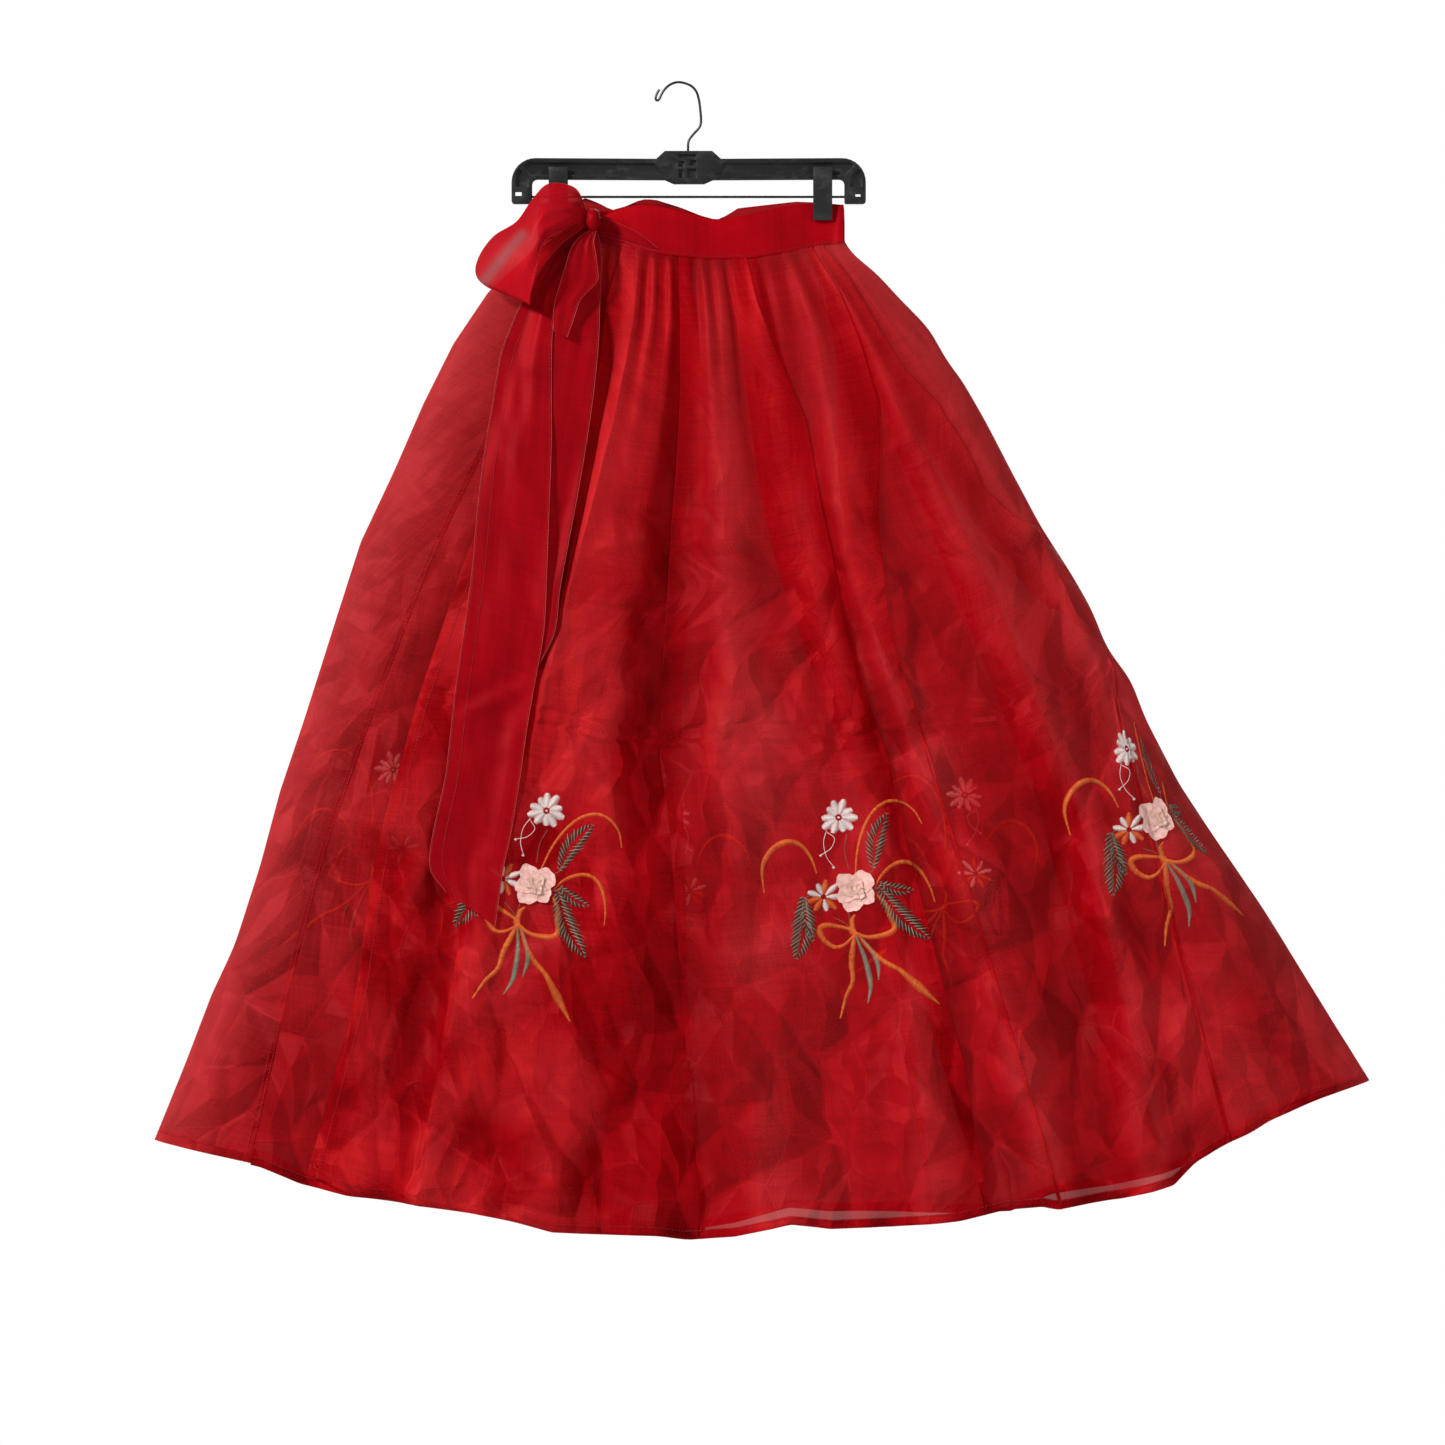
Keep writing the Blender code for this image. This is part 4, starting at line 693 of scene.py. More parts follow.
def sheet_object(name, points, finish, cover=YARN_COVER, sides=True):
    """A sheet of cloth as a grid, with its cut as UV and the cover of its yarns at each vertex."""
    places = in_metres(points)
    rows, count = places.shape[:2]
    index = np.arange(rows * count).reshape(rows, count)
    faces = np.stack([index[:-1, :-1], index[1:, :-1], index[1:, 1:], index[:-1, 1:]], axis=-1).reshape(-1, 4)
    mesh = bpy.data.meshes.new(name)
    mesh.from_pydata(places.reshape(-1, 3).tolist(), [], faces.tolist())
    slant = np.cross(np.gradient(places, axis=0), np.gradient(places, axis=1))
    size = np.maximum(np.linalg.norm(slant, axis=-1), 1e-12)
    facing = np.clip(np.abs(slant[..., 1]) / size, LEAST_SLOPE, 1.0)
    hollow = hollows(points) if sides else np.zeros_like(facing)
    thin = thin_at_sides(points) - HOLLOW_COVER * hollow if sides else 0.0
    # pale: painted light, strongest near the outlines where a lit backdrop would show through, and on the fold
    # ridges
    pale = np.clip(thin_at_sides(points) / SIDE_THINNING + RIDGE_PAINTED_LIGHT * np.clip(-hollow, 0.0, 1.0), 0.0, 1.0)
    press = np.interp(points[..., 2], PRESS_GROWTH["down"], PRESS_GROWTH["part"])
    covers = 1.0 - (1.0 - cover + thin) ** (1.0 / facing)
    wide, tall, deep = CLOUD_CELL
    clouds = np.array([noise.fractal(Vector((x / wide, z / tall, y / deep)), 0.9, 2.0, 3)
                       for x, y, z in points.reshape(-1, 3)])
    for key, values in (("cover", covers.reshape(-1)), ("cloud", clouds), ("hollow", hollow.reshape(-1)),
                        ("press", press.reshape(-1)), ("pale", pale.reshape(-1))):
        kept = mesh.attributes.new(key, "FLOAT", "POINT")
        kept.data.foreach_set("value", values.astype(np.float32))
    aside = np.linalg.norm(np.diff(places, axis=1), axis=-1)
    along = np.linalg.norm(np.diff(places, axis=0), axis=-1)
    u = np.concatenate([np.zeros((rows, 1)), np.cumsum(aside, axis=1)], axis=1)
    v = np.concatenate([np.zeros((1, count)), np.cumsum(along, axis=0)], axis=0)
    u -= u[:, -1:] / 2.0
    cut = np.stack([u, v], axis=-1).reshape(-1, 2)
    layer = mesh.uv_layers.new(name="cut")
    corners = np.empty(len(mesh.loops), np.int32)
    mesh.loops.foreach_get("vertex_index", corners)
    layer.data.foreach_set("uv", cut[corners].reshape(-1).astype(np.float32))
    mesh.materials.append(finish)
    mesh.shade_smooth()
    return in_scene(name, mesh)


# Front panel: the overlapping front, sheer organza gathered into the band. Its free edge and its hem are
# narrow hems turned twice, and five of its folds are pressed into laps with crisp edges.
PANEL_SHARES = np.linspace(0.0, 1.0, PANEL_ROW_COUNT)
FREE_HEM_WIDTH = 11.0
HEM_WIDTH = 9.0
# the front, the underlap and the wrap lie on one another, so they share their swell and large facets
SHARED_SWELL = {"height": 3.0, "span": 110.0, "seed": 3.0}
SHARED_FACETS = {"span": 58.0, "height": 9.0, "seed": 11}
FRONT_LAPS = (
    {"name": "beside the tails", "over": -1,
     "left": {"down": (245, 300, 360, 450, 520, 600, 700, 850, 1200),
              "across": (622, 606, 600, 582, 566, 548, 520, 476, 416)},
     "right": {"down": (245, 300, 360, 450, 520, 600, 700, 850, 1200),
               "across": (634, 634, 626, 605, 588, 564, 532, 484, 420)}},
    {"name": "deep", "over": -1,
     "left": {"down": (245, 320, 400, 470, 520, 600, 680, 760, 830, 1000, 1200),
              "across": (678, 680, 680, 676, 672, 667, 662, 660, 670, 682, 700)},
     "right": {"down": (245, 320, 400, 480, 540, 600, 680, 760, 830, 1000, 1200),
               "across": (686, 698, 703, 706, 702, 690, 682, 681, 684, 688, 704)}},
    {"name": "broad", "over": 1,
     "left": {"down": (245, 300, 340, 400, 480, 560, 620, 690, 760, 850, 950, 1060, 1200),
              "across": (733, 737, 740, 748, 758, 775, 794, 820, 848, 880, 906, 940, 982)},
     "right": {"down": (245, 300, 340, 420, 500, 545, 590, 640, 680, 720, 760, 850, 950, 1060, 1200),
               "across": (744, 757, 772, 806, 820, 830, 838, 848, 860, 875, 888, 908, 934, 962, 986)}},
    {"name": "side", "over": 1,
     "left": {"down": (245, 290, 350, 470, 560, 640, 720, 1200),
              "across": (806, 824, 836, 838, 846, 878, 914, 1056)},
     "right": {"down": (245, 290, 340, 400, 440, 520, 600, 640, 720, 1200),
               "across": (812, 840, 860, 878, 880, 878, 886, 892, 918, 1060)}},
    {"name": "outer", "over": 1,
     "left": {"down": (245, 275, 330, 380, 430, 490, 560, 620, 700, 1200),
              "across": (818, 836, 862, 886, 916, 952, 1002, 1056, 1112, 1240)},
     "right": {"down": (245, 275, 330, 370, 410, 450, 490, 530, 560, 610, 640, 700, 1200),
               "across": (824, 850, 880, 905, 940, 965, 985, 1015, 1040, 1065, 1078, 1116, 1244)}},
)
# x and y of both ends, reach to each side, height towards the viewer
FRONT_CREASES = (
    (600, 517, 672, 515, 9, -1.6), (595, 549, 670, 533, 10, 1.8), (575, 612, 640, 597, 12, 1.6),
    (618, 640, 665, 595, 13, -2.0), (600, 667, 655, 714, 18, 2.2), (570, 702, 612, 655, 16, 1.8),
    (708, 553, 776, 554, 8, -2.2), (705, 495, 730, 470, 8, 1.6), (700, 500, 722, 530, 8, -1.6),
    (722, 705, 770, 697, 12, 1.8), (700, 640, 728, 700, 12, -1.6), (820, 495, 862, 528, 10, 2.0),
    (818, 500, 842, 560, 12, -2.0), (845, 640, 935, 712, 22, 3.0), (885, 755, 950, 712, 20, -2.6),
    (852, 660, 900, 650, 12, 1.6), (918, 540, 962, 600, 12, 1.6), (938, 690, 985, 640, 16, 1.8),
    (905, 560, 1010, 610, 18, -2.0), (1000, 590, 1060, 622, 16, 2.0), (975, 640, 965, 720, 10, -1.6),
    (1058, 592, 1076, 578, 8, 1.8), (1025, 520, 1045, 548, 8, 1.2), (895, 318, 930, 350, 7, 1.4),
    (900, 345, 928, 338, 6, -1.2), (940, 470, 948, 442, 7, 1.2), (878, 460, 930, 424, 10, 1.4),
    (500, 948, 655, 936, 14, 1.8), (470, 1000, 560, 955, 16, -1.6), (720, 760, 782, 756, 14, 2.2),
    (740, 800, 800, 830, 16, -1.8), (720, 830, 760, 870, 16, 1.8), (700, 900, 765, 885, 14, 1.6),
    (700, 1010, 765, 1100, 20, 2.4), (655, 1000, 560, 1195, 24, 3.0), (600, 1060, 640, 1180, 20, -2.0),
    (690, 1120, 750, 1190, 20, 2.2), (760, 1040, 830, 1100, 22, 1.6), (830, 1000, 905, 1062, 18, -2.0),
    (905, 1060, 985, 1180, 18, 2.6), (940, 940, 1010, 1010, 16, 1.8), (960, 985, 1040, 1050, 16, -2.0),
    (1005, 1085, 1065, 1150, 18, 2.2), (1020, 940, 1100, 985, 20, 2.0), (1040, 900, 1062, 1000, 14, -1.8),
    (1075, 1000, 1108, 1180, 16, -2.6), (1110, 985, 1178, 1020, 18, 2.2), (1110, 1035, 1150, 1080, 16, -2.0),
    (1178, 1010, 1180, 1168, 14, 3.0), (1215, 1085, 1214, 1165, 12, -2.2), (1105, 1165, 1180, 1130, 16, 2.0),
    (1195, 980, 1260, 1010, 18, -1.8), (1130, 905, 1200, 935, 18, 1.8), (1240, 1000, 1350, 1060, 24, 2.2),
    (1060, 780, 1062, 900, 14, -2.0), (990, 780, 1000, 880, 14, 1.6), (1120, 640, 1140, 720, 12, 1.4),
    (480, 1090, 560, 1130, 20, 1.8), (430, 1010, 470, 1100, 18, -1.8), (360, 1090, 432, 1150, 18, 1.8),
    (415, 1120, 520, 1165, 18, -1.6), (800, 1140, 900, 1190, 22, 1.6), (850, 1090, 870, 1180, 14, -1.4),
)


front_relief = gathered(FRONT_FOLDS, [OUTLINE_RIGHT] * len(FRONT_FOLDS), HEM_FRONT, "front", PANEL_SHARES)
front_columns = Columns(front_relief, PANEL_ROW_COUNT)
free_edge = front_relief[0][:, 0]
turned_edge(front_columns, free_edge, FREE_HEM_WIDTH, 1.0)
for fold in FRONT_LAPS:
    front_columns.lap(front_columns.level(fold["left"]), front_columns.level(fold["right"]), fold["over"])
front_columns.run(front_relief[0][:, -1], 0.0, OUTLINE_SPREAD)
front_points = front_columns.sheet(-1.0)
worn(front_points, FRONT_CREASES, SHARED_SWELL,
     (SHARED_FACETS, {"span": 27.0, "height": 3.4, "seed": 12}), -1.0)
side_seam = front_points[:, -1].copy()
front_points = turned_hem(front_points, HEM_WIDTH, -1.0)
front_piece = sheet_object("front_cloth", front_points, red_organza)
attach(front_piece, "root")
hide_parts("front_panel")


# Underlap: the front that lies beneath, from the join seam to its own hemmed inner edge
UNDER_CREASES = (
    (345, 580, 392, 592, 12, 1.6), (395, 640, 470, 630, 14, -1.8), (362, 1000, 446, 984, 20, 2.2),
    (380, 1050, 440, 1110, 20, -1.8), (470, 760, 560, 800, 22, 1.8), (560, 900, 640, 860, 22, -1.8),
)


def underlap_relief(shares):
    """The underlap follows the front panel's folds from behind, then runs flat to the join seam."""
    shared = sum(max(f["halves"] * FINE_GATHER, 1) for f in FRONT_FOLDS[:UNDER_LAST_FOLD]) + 1
    across, out, down = [values[:, :shared] for values in front_relief]
    gap = np.stack([under_gap(across[r], shares[r]) for r in range(len(shares))])
    out = out + gap
    top = seam_down(JOIN_LINE[0]) + SEAM_GAP
    join_down = top + (from_table(HEM_UNDER, "down", JOIN_LINE[-1]) - top) * shares
    join_across = np.interp(join_down, FOLD_LEVELS, JOIN_LINE)
    flat = []
    for part in np.linspace(0.0, 1.0, 13)[:-1]:
        place = join_across + (across[:, 0] - join_across) * part
        level = join_down + (down[:, 0] - join_down) * part
        held = band_depth(place, "inner")
        gap_here = np.array([under_gap(p, s) for p, s in zip(place, shares)])
        loose = base_depth(place, level, shares, "front") + gap_here
        here = held + (loose - held) * band_mix(shares)
        flat.append((place, here + (out[:, 0] - here) * part ** 2, level))
    flat = [np.stack(values, axis=1) for values in zip(*flat)]
    across, out, down = [np.concatenate([a, b], axis=1) for a, b in zip(flat, (across, out, down))]
    hem = from_table(HEM_UNDER, "down", across[-1])
    down = down[0] + (down - down[0]) * (hem - down[0]) / (down[-1] - down[0])
    return [softened_rows(values) for values in (across, out, down)]


under_relief = underlap_relief(PANEL_SHARES)
under_columns = Columns(under_relief, PANEL_ROW_COUNT)
under_columns.add(under_relief[0][:, 0], 0.0)
under_columns.run(under_relief[0][:, -1] - FREE_HEM_WIDTH, 0.0)
for part, layer in reversed(HEM_TURN_PATH):
    under_columns.add(under_relief[0][:, -1] - FREE_HEM_WIDTH * part, HEM_TURN_STEP * layer)
under_points = under_columns.sheet(-1.0)
worn(under_points, UNDER_CREASES + FRONT_CREASES, SHARED_SWELL,
     (SHARED_FACETS, {"span": 27.0, "height": 1.6, "seed": 18}), -1.0)
join_seam = under_points[:, 0].copy()
under_points = turned_hem(under_points, HEM_WIDTH, -1.0)
under_piece = sheet_object("underlap_cloth", under_points, red_organza)
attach(under_piece, "root")
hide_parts("underlap_panel")


# Back panel: the back from the right side seam round the left side to the join seam at the front, with
# its seam allowance turned back twice beside the join
BACK_LAPS = (
    {"name": "back right", "over": 1,
     "left": {"down": (245, 400, 600, 800, 1200), "across": (806, 878, 962, 1040, 1146)},
     "right": {"down": (245, 400, 600, 800, 1200), "across": (814, 902, 1000, 1078, 1176)}},
    {"name": "back middle right", "over": -1,
     "left": {"down": (245, 400, 600, 900, 1200), "across": (748, 776, 822, 880, 930)},
     "right": {"down": (245, 400, 600, 900, 1200), "across": (755, 796, 850, 900, 934)}},
    {"name": "back middle", "over": 1,
     "left": {"down": (245, 380, 560, 800, 1200), "across": (686, 668, 654, 648, 656)},
     "right": {"down": (245, 380, 560, 800, 1200), "across": (693, 690, 684, 676, 662)}},
    {"name": "back left", "over": -1,
     "left": {"down": (245, 400, 600, 850, 1200), "across": (620, 566, 506, 452, 412)},
     "right": {"down": (245, 400, 600, 850, 1200), "across": (628, 588, 536, 480, 418)}},
)
BACK_CREASES = (
    (640, 420, 740, 436, 14, 1.8), (700, 520, 780, 560, 18, -2.0), (560, 560, 640, 540, 16, 2.0),
    (820, 560, 900, 520, 18, 2.0), (600, 700, 700, 740, 22, -2.4), (740, 690, 820, 660, 20, 2.2),
    (900, 680, 980, 740, 22, 2.2), (460, 640, 540, 690, 20, 2.0), (500, 860, 620, 900, 26, 2.6),
    (660, 880, 780, 850, 24, -2.4), (820, 840, 930, 900, 26, 2.4), (980, 860, 1080, 820, 24, -2.2),
    (350, 780, 430, 840, 22, 2.2), (400, 960, 520, 1000, 26, -2.4), (560, 1000, 660, 1060, 26, 2.6),
    (700, 1020, 820, 1060, 28, 2.4), (860, 1000, 960, 1080, 26, -2.6), (1000, 980, 1110, 1040, 26, 2.4),
    (1120, 940, 1220, 1000, 26, -2.2), (300, 980, 380, 1060, 24, 2.2), (420, 1080, 540, 1140, 26, 2.4),
    (620, 1120, 740, 1170, 26, -2.2), (800, 1100, 900, 1160, 24, 2.4), (960, 1120, 1060, 1160, 24, 2.2),
    (1150, 1060, 1230, 1120, 22, 2.2), (820, 380, 880, 420, 14, 1.6), (590, 330, 640, 400, 12, 1.6),
    (700, 330, 724, 420, 12, -1.6), (230, 955, 455, 985, 18, 1.6), (1040, 640, 1090, 700, 16, 1.8),
)
WRAP_CREASES = (
    (330, 560, 420, 590, 14, 2.0), (345, 607, 398, 625, 10, -1.8), (300, 760, 360, 720, 16, 2.0),
    (240, 940, 330, 965, 18, 2.0), (210, 1040, 280, 1100, 20, 2.2), (228, 1033, 228, 1154, 12, -2.0),
    (290, 860, 340, 900, 16, -1.8), (400, 470, 440, 520, 12, 1.6), (430, 400, 470, 430, 10, 1.4),
)
SEAM_ALLOWANCE = 6.5
ALLOWANCE_PATH = (
    (-0.1, 0.2), (-0.12, 0.4), (0.06, 0.6), (0.5, 0.6), (0.94, 0.6), (1.0, 0.9), (0.94, 1.2), (0.5, 1.2),
    (0.06, 1.2),
)
WRAP_COLUMNS = 40
SETTLED_COLUMNS = 14.0


def left_outline(shares):
    top = seam_down(540.0) + SEAM_GAP
    down = top + (from_table(HEM_UNDER, "down", 152.0) - top) * shares
    return from_table(OUTLINE_LEFT, "across", down, "down"), down


def wrap_relief(shares):
    """From the left outline to the join seam, on the front side."""
    outline_across, outline_down = left_outline(shares)
    top = seam_down(JOIN_LINE[0]) + SEAM_GAP
    join_down = top + (from_table(HEM_UNDER, "down", JOIN_LINE[-1]) - top) * shares
    join_across = np.interp(join_down, FOLD_LEVELS, JOIN_LINE)
    columns = []
    for part in np.linspace(0.0, 1.0, WRAP_COLUMNS + 1):
        place = part ** OUTLINE_SPREAD
        turn = part * part * (3.0 - 2.0 * part)
        across = outline_across + (join_across - outline_across) * place
        down = outline_down + (join_down - outline_down) * place
        held = LEFT_TURN_OUT + (band_depth(across, "inner") - LEFT_TURN_OUT) * turn
        gap = np.array([under_gap(a, s) for a, s in zip(across, shares)])
        loose = base_depth(across, down, shares, "front") + gap * turn
        columns.append((across, held + (loose - held) * band_mix(shares), down))
    return [softened_rows(np.stack(values, axis=1)) for values in zip(*columns)]


back_outlines = [OUTLINE_RIGHT] * (len(BACK_FOLDS) - 1) + [OUTLINE_LEFT]
back_relief = gathered(BACK_FOLDS, back_outlines, HEM_BACK, "back", PANEL_SHARES)
outline_across, outline_down = left_outline(PANEL_SHARES)
back_relief[0][:, -1] = outline_across
back_relief[1][:, -1] = LEFT_TURN_OUT * (1.0 - band_mix(PANEL_SHARES))
back_relief[2][:, -1] = outline_down
back_columns = Columns(back_relief, PANEL_ROW_COUNT)
back_columns.add(back_relief[0][:, 0], 0.0)
for fold in BACK_LAPS:
    back_columns.lap(back_columns.level(fold["right"]), back_columns.level(fold["left"]), fold["over"])
back_columns.run(back_relief[0][:, -1], 0.0, OUTLINE_SPREAD)
back_points = back_columns.sheet(1.0)
worn(back_points, BACK_CREASES, {"height": 3.0, "span": 120.0, "seed": 21.0},
     ({"span": 58.0, "height": 9.0, "seed": 21}, {"span": 27.0, "height": 2.6, "seed": 22}), 1.0)
# its first columns run into the front panel's edge at the side seam, and its last ones lie flat at the turn
column = np.arange(back_points.shape[1])
near_seam = np.clip(1.0 - column / SETTLED_COLUMNS, 0.0, 1.0)[None, :, None]
back_points += (side_seam - back_points[:, 0])[:, None, :] * near_seam
near_turn = np.clip((column[::-1] + 1.0) / SETTLED_COLUMNS, 0.0, 1.0)[None, :]
flat_back = back_columns.sheet(1.0)
back_points[..., 1] = flat_back[..., 1] + (back_points[..., 1] - flat_back[..., 1]) * near_turn
wrap_columns = Columns(wrap_relief(PANEL_SHARES), PANEL_ROW_COUNT)
for c in range(1, WRAP_COLUMNS + 1):
    wrap_columns.add(wrap_columns.across[:, c], 0.0)
join_column = WRAP_COLUMNS - 1
join = wrap_columns.across[:, -1]
for part, layer in ALLOWANCE_PATH:
    wrap_columns.add(join - SEAM_ALLOWANCE * part, layer)
wrap_points = wrap_columns.sheet(-1.0)
worn(wrap_points, WRAP_CREASES, SHARED_SWELL, (SHARED_FACETS, {"span": 27.0, "height": 1.6, "seed": 32}), -1.0)
# it lies flat at the turn too, and runs into the underlap's edge at the join
fade = np.clip(np.arange(wrap_points.shape[1]) / SETTLED_COLUMNS, 0.0, 1.0)[None, :]
plain = wrap_columns.sheet(-1.0)
wrap_points[..., 1] = plain[..., 1] + (wrap_points[..., 1] - plain[..., 1]) * fade
before_join = join_column - np.arange(wrap_points.shape[1])
near_join = np.clip(1.0 - before_join / SETTLED_COLUMNS, 0.0, 1.0)[None, :]
wrap_points[..., 1] += (join_seam[:, 1] - wrap_points[:, join_column, 1])[:, None] * near_join
back_points = np.concatenate([back_points, wrap_points], axis=1)
back_points = turned_hem(back_points, HEM_WIDTH, 1.0)
back_piece = sheet_object("back_cloth", back_points, red_organza)
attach(back_piece, "root")
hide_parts("back_panel")


# Waistband: a strip of the same organza folded double along its top, gathered skirt sewn into its lower
# edge. It starts beneath the underlap, runs round the left end, the back and the right end to the bow.
BAND_TOPS = {
    "front": {"across": (538, 570, 599, 612, 625, 634, 646, 667, 690, 716, 733, 748, 775, 801, 846),
              "down": (200, 205, 215, 210, 206, 203, 202, 205, 211, 218, 215, 213, 206, 202, 202.2)},
    "back": {"across": (538, 574, 585, 598, 611, 625, 641, 654, 680, 700, 716, 727, 738, 765, 796, 812, 846),
             "down": (200, 199.6, 195, 200, 207, 203, 196, 196, 204, 212, 217, 212, 205, 202, 198.8, 199.6,
                      202.2)},
    "inner": {"across": (538, 600, 650, 700), "down": (201, 209, 206, 214)},
}
BAND_LAYER_COVER = 0.66
BAND_BACK_COVER = 0.46
BAND_HALF_GAP = 0.55
BAND_RISE = (0.0, 0.05, 0.14, 0.28, 0.44, 0.6, 0.75, 0.87, 0.95, 1.0)
BAND_PUCKER = 0.7
BAND_SWAY = 0.4
BAND_FINER = 4
SASH_COVER = 0.90
SASH_LIT = (0.31, 0.0006, 0.005)
SASH_THROUGH = (0.34, 0.0006, 0.004)
# the loop is the sash's cloth in a lighter colour: painted light on the bow's loop
LOOP_PAINTED_LIGHTER = (0.44, 0.003, 0.010)
LOOP_COVER = 0.88
# where the loop's inner side is single and lets the surround through
LOOP_SLIT = {"from": (484, 281), "to": (522, 236), "reach": 6.5, "open": 0.5}


def finer(sheet, times, axis):
    """A grid with more rows or columns, on smooth curves through the ones it has."""
    rows = np.moveaxis(np.asarray(sheet, float), axis, 0)
    ends = np.concatenate([2 * rows[:1] - rows[1:2], rows, 2 * rows[-1:] - rows[-2:-1]])
    made = []
    for i in range(1, len(ends) - 2):
        p0, p1, p2, p3 = ends[i - 1:i + 3]
        for step in range(times):
            t = step / times
            made.append(0.5 * (2 * p1 + (p2 - p0) * t + (2 * p0 - 5 * p1 + 4 * p2 - p3) * t * t
                               + (3 * p1 - p0 - 3 * p2 + p3) * t ** 3))
    made.append(rows[-1])
    return np.moveaxis(np.stack(made), 0, axis)


# the band's cloth is the panels' organza in a lighter colour: painted light where the band catches it
BAND_PAINTED_LIGHTER = (0.48, 0.0015, 0.008)
red_band = organza("red_band", BAND_PAINTED_LIGHTER, ORGANZA_THROUGH, pressed=False)
red_sash = organza("red_sash", SASH_LIT, SASH_THROUGH, 0.18, pressed=False)
red_loop = organza("red_loop", LOOP_PAINTED_LIGHTER, ORGANZA_THROUGH, 0.22, pressed=False)

band_plan = finer(np.concatenate([np.array(rows) for rows in BAND_PLAN.values()]), BAND_FINER, 0)
band_layers = [layer for layer, rows in BAND_PLAN.items() for _ in range(BAND_FINER * len(rows))]
band_layers = band_layers[:len(band_plan) - 1] + ["front"]
along_band = np.gradient(band_plan, axis=0)
along_band /= np.linalg.norm(along_band, axis=1, keepdims=True)
outward = np.stack([along_band[:, 1], -along_band[:, 0]], axis=1)
band_rows = []
for side in (1.0, -1.0):
    for rise in (BAND_RISE if side > 0 else BAND_RISE[-2::-1]):
        row = np.empty((len(band_plan), 3))
        for c, ((across, out), layer) in enumerate(zip(band_plan, band_layers)):
            top = from_table(BAND_TOPS[layer], "down", across)
            bottom = from_table(SEAM_LINE, "down", across)
            apart = BAND_HALF_GAP * side * min(1.0, (1.0 - rise) * 8.0)
            gather = abs(math.sin(0.42 * across + 1.3 * math.sin(0.11 * across)))
            pucker = BAND_PUCKER * gather * (1.0 - rise) ** 2 * side
            sway = BAND_SWAY * math.sin(0.16 * across + 3.0 * rise) * rise * (1.0 - rise) * 4.0
            shift = apart + pucker + sway
            row[c] = (across + outward[c, 0] * shift, out + outward[c, 1] * shift,
                      bottom + (top - bottom) * rise)
        band_rows.append(row)
band_points = np.stack(band_rows)
band_cover = np.array([BAND_BACK_COVER if layer == "back" else BAND_LAYER_COVER for layer in band_layers])
band_piece = sheet_object("waistband_cloth", band_points, red_band, band_cover, sides=False)
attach(band_piece, "root")
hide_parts("waistband")


# Sash: two tails, one loop and a short end of doubled organza tied round the band in a half bow. Each
# tail lies on the cloth behind it and has a turned edge.
FRONT_TAIL_TOP = (
    {"left": (583.2, 224.0), "right": (587.6, 229.0)}, {"left": (572, 228), "right": (580, 235)},
    {"left": (560, 238), "right": (571, 246)},
)
FRONT_TAIL = {
    "down": (266, 300, 330, 356, 400, 450, 510, 570, 632, 694, 730, 780, 835, 868),
    "left": (542, 522, 509, 500, 493, 485, 478, 473, 465, 456, 452, 446, 434, 432),
    "right": (565, 556, 553, 552, 552, 552, 550, 548, 545, 534, 528, 521, 512, 505),
}
FRONT_TAIL_TIP = ({"left": (447, 890), "right": (497, 925)},)
BACK_TAIL_TOP = (
    {"left": (588.4, 231.3), "right": (597.0, 231.0)}, {"left": (580, 240), "right": (599.6, 240)},
)
BACK_TAIL = {
    "down": (260, 300, 340, 385, 430, 480, 540, 590, 632, 664),
    "left": (566, 556, 548, 540, 532, 524, 515, 508, 503, 500),
    "right": (601, 600, 599, 595, 589, 581, 570, 561, 556, 541),
}
TAIL_COLUMNS = 6
TAIL_CLEARANCE = 3.7
LAY_REACH_ACROSS = 9.0
LAY_REACH_DOWN = {"down": (232, 262, 300, 340), "reach": (7.0, 11.0, 20.0, 30.0)}
TAIL_RIPPLE = 0.3
TAIL_RIPPLE_SHIFT = 0.35
TAIL_FLAT_SHARE = 0.65
TAIL_FLAT_FROM = 4
BACK_TAIL_START = {"down": (226, 262, 300, 360), "out": (-14.5, -13.0, -12.0, 0.0)}
FRONT_TAIL_START = {"down": (226, 262, 300, 360), "out": (-18.5, -17.5, -16.0, 0.0)}
TAIL_HEM_WIDTH = 14.0
TAIL_CREASES = (
    (458, 703, 534, 668, 12, -3.4), (462, 716, 530, 684, 12, 2.6), (503, 515, 522, 545, 8, -1.4),
    (548, 508, 576, 507, 7, -1.8), (482, 468, 500, 470, 6, 1.2), (497, 430, 545, 520, 12, 1.6),
    (470, 600, 545, 640, 14, 1.4), (455, 770, 520, 740, 14, 1.6), (440, 820, 500, 852, 14, -1.4),
    (452, 860, 500, 905, 12, 1.4), (515, 560, 540, 620, 9, -1.2), (560, 330, 596, 352, 10, -1.8),
    (556, 300, 580, 345, 9, 1.5), (545, 400, 590, 440, 10, 1.2), (500, 360, 545, 372, 10, 1.4),
    (470, 745, 490, 840, 9, 1.0),
)


def foremost(cloud, across, down):
    """The place nearest the viewer that the cloth reaches near a point of the drawing."""
    reach = from_table(LAY_REACH_DOWN, "reach", down, "down")
    near = (np.abs(cloud[:, 0] - across) < LAY_REACH_ACROSS) & (np.abs(cloud[:, 2] - down) < reach)
    return float(cloud[near, 1].min()) if near.any() else 0.0


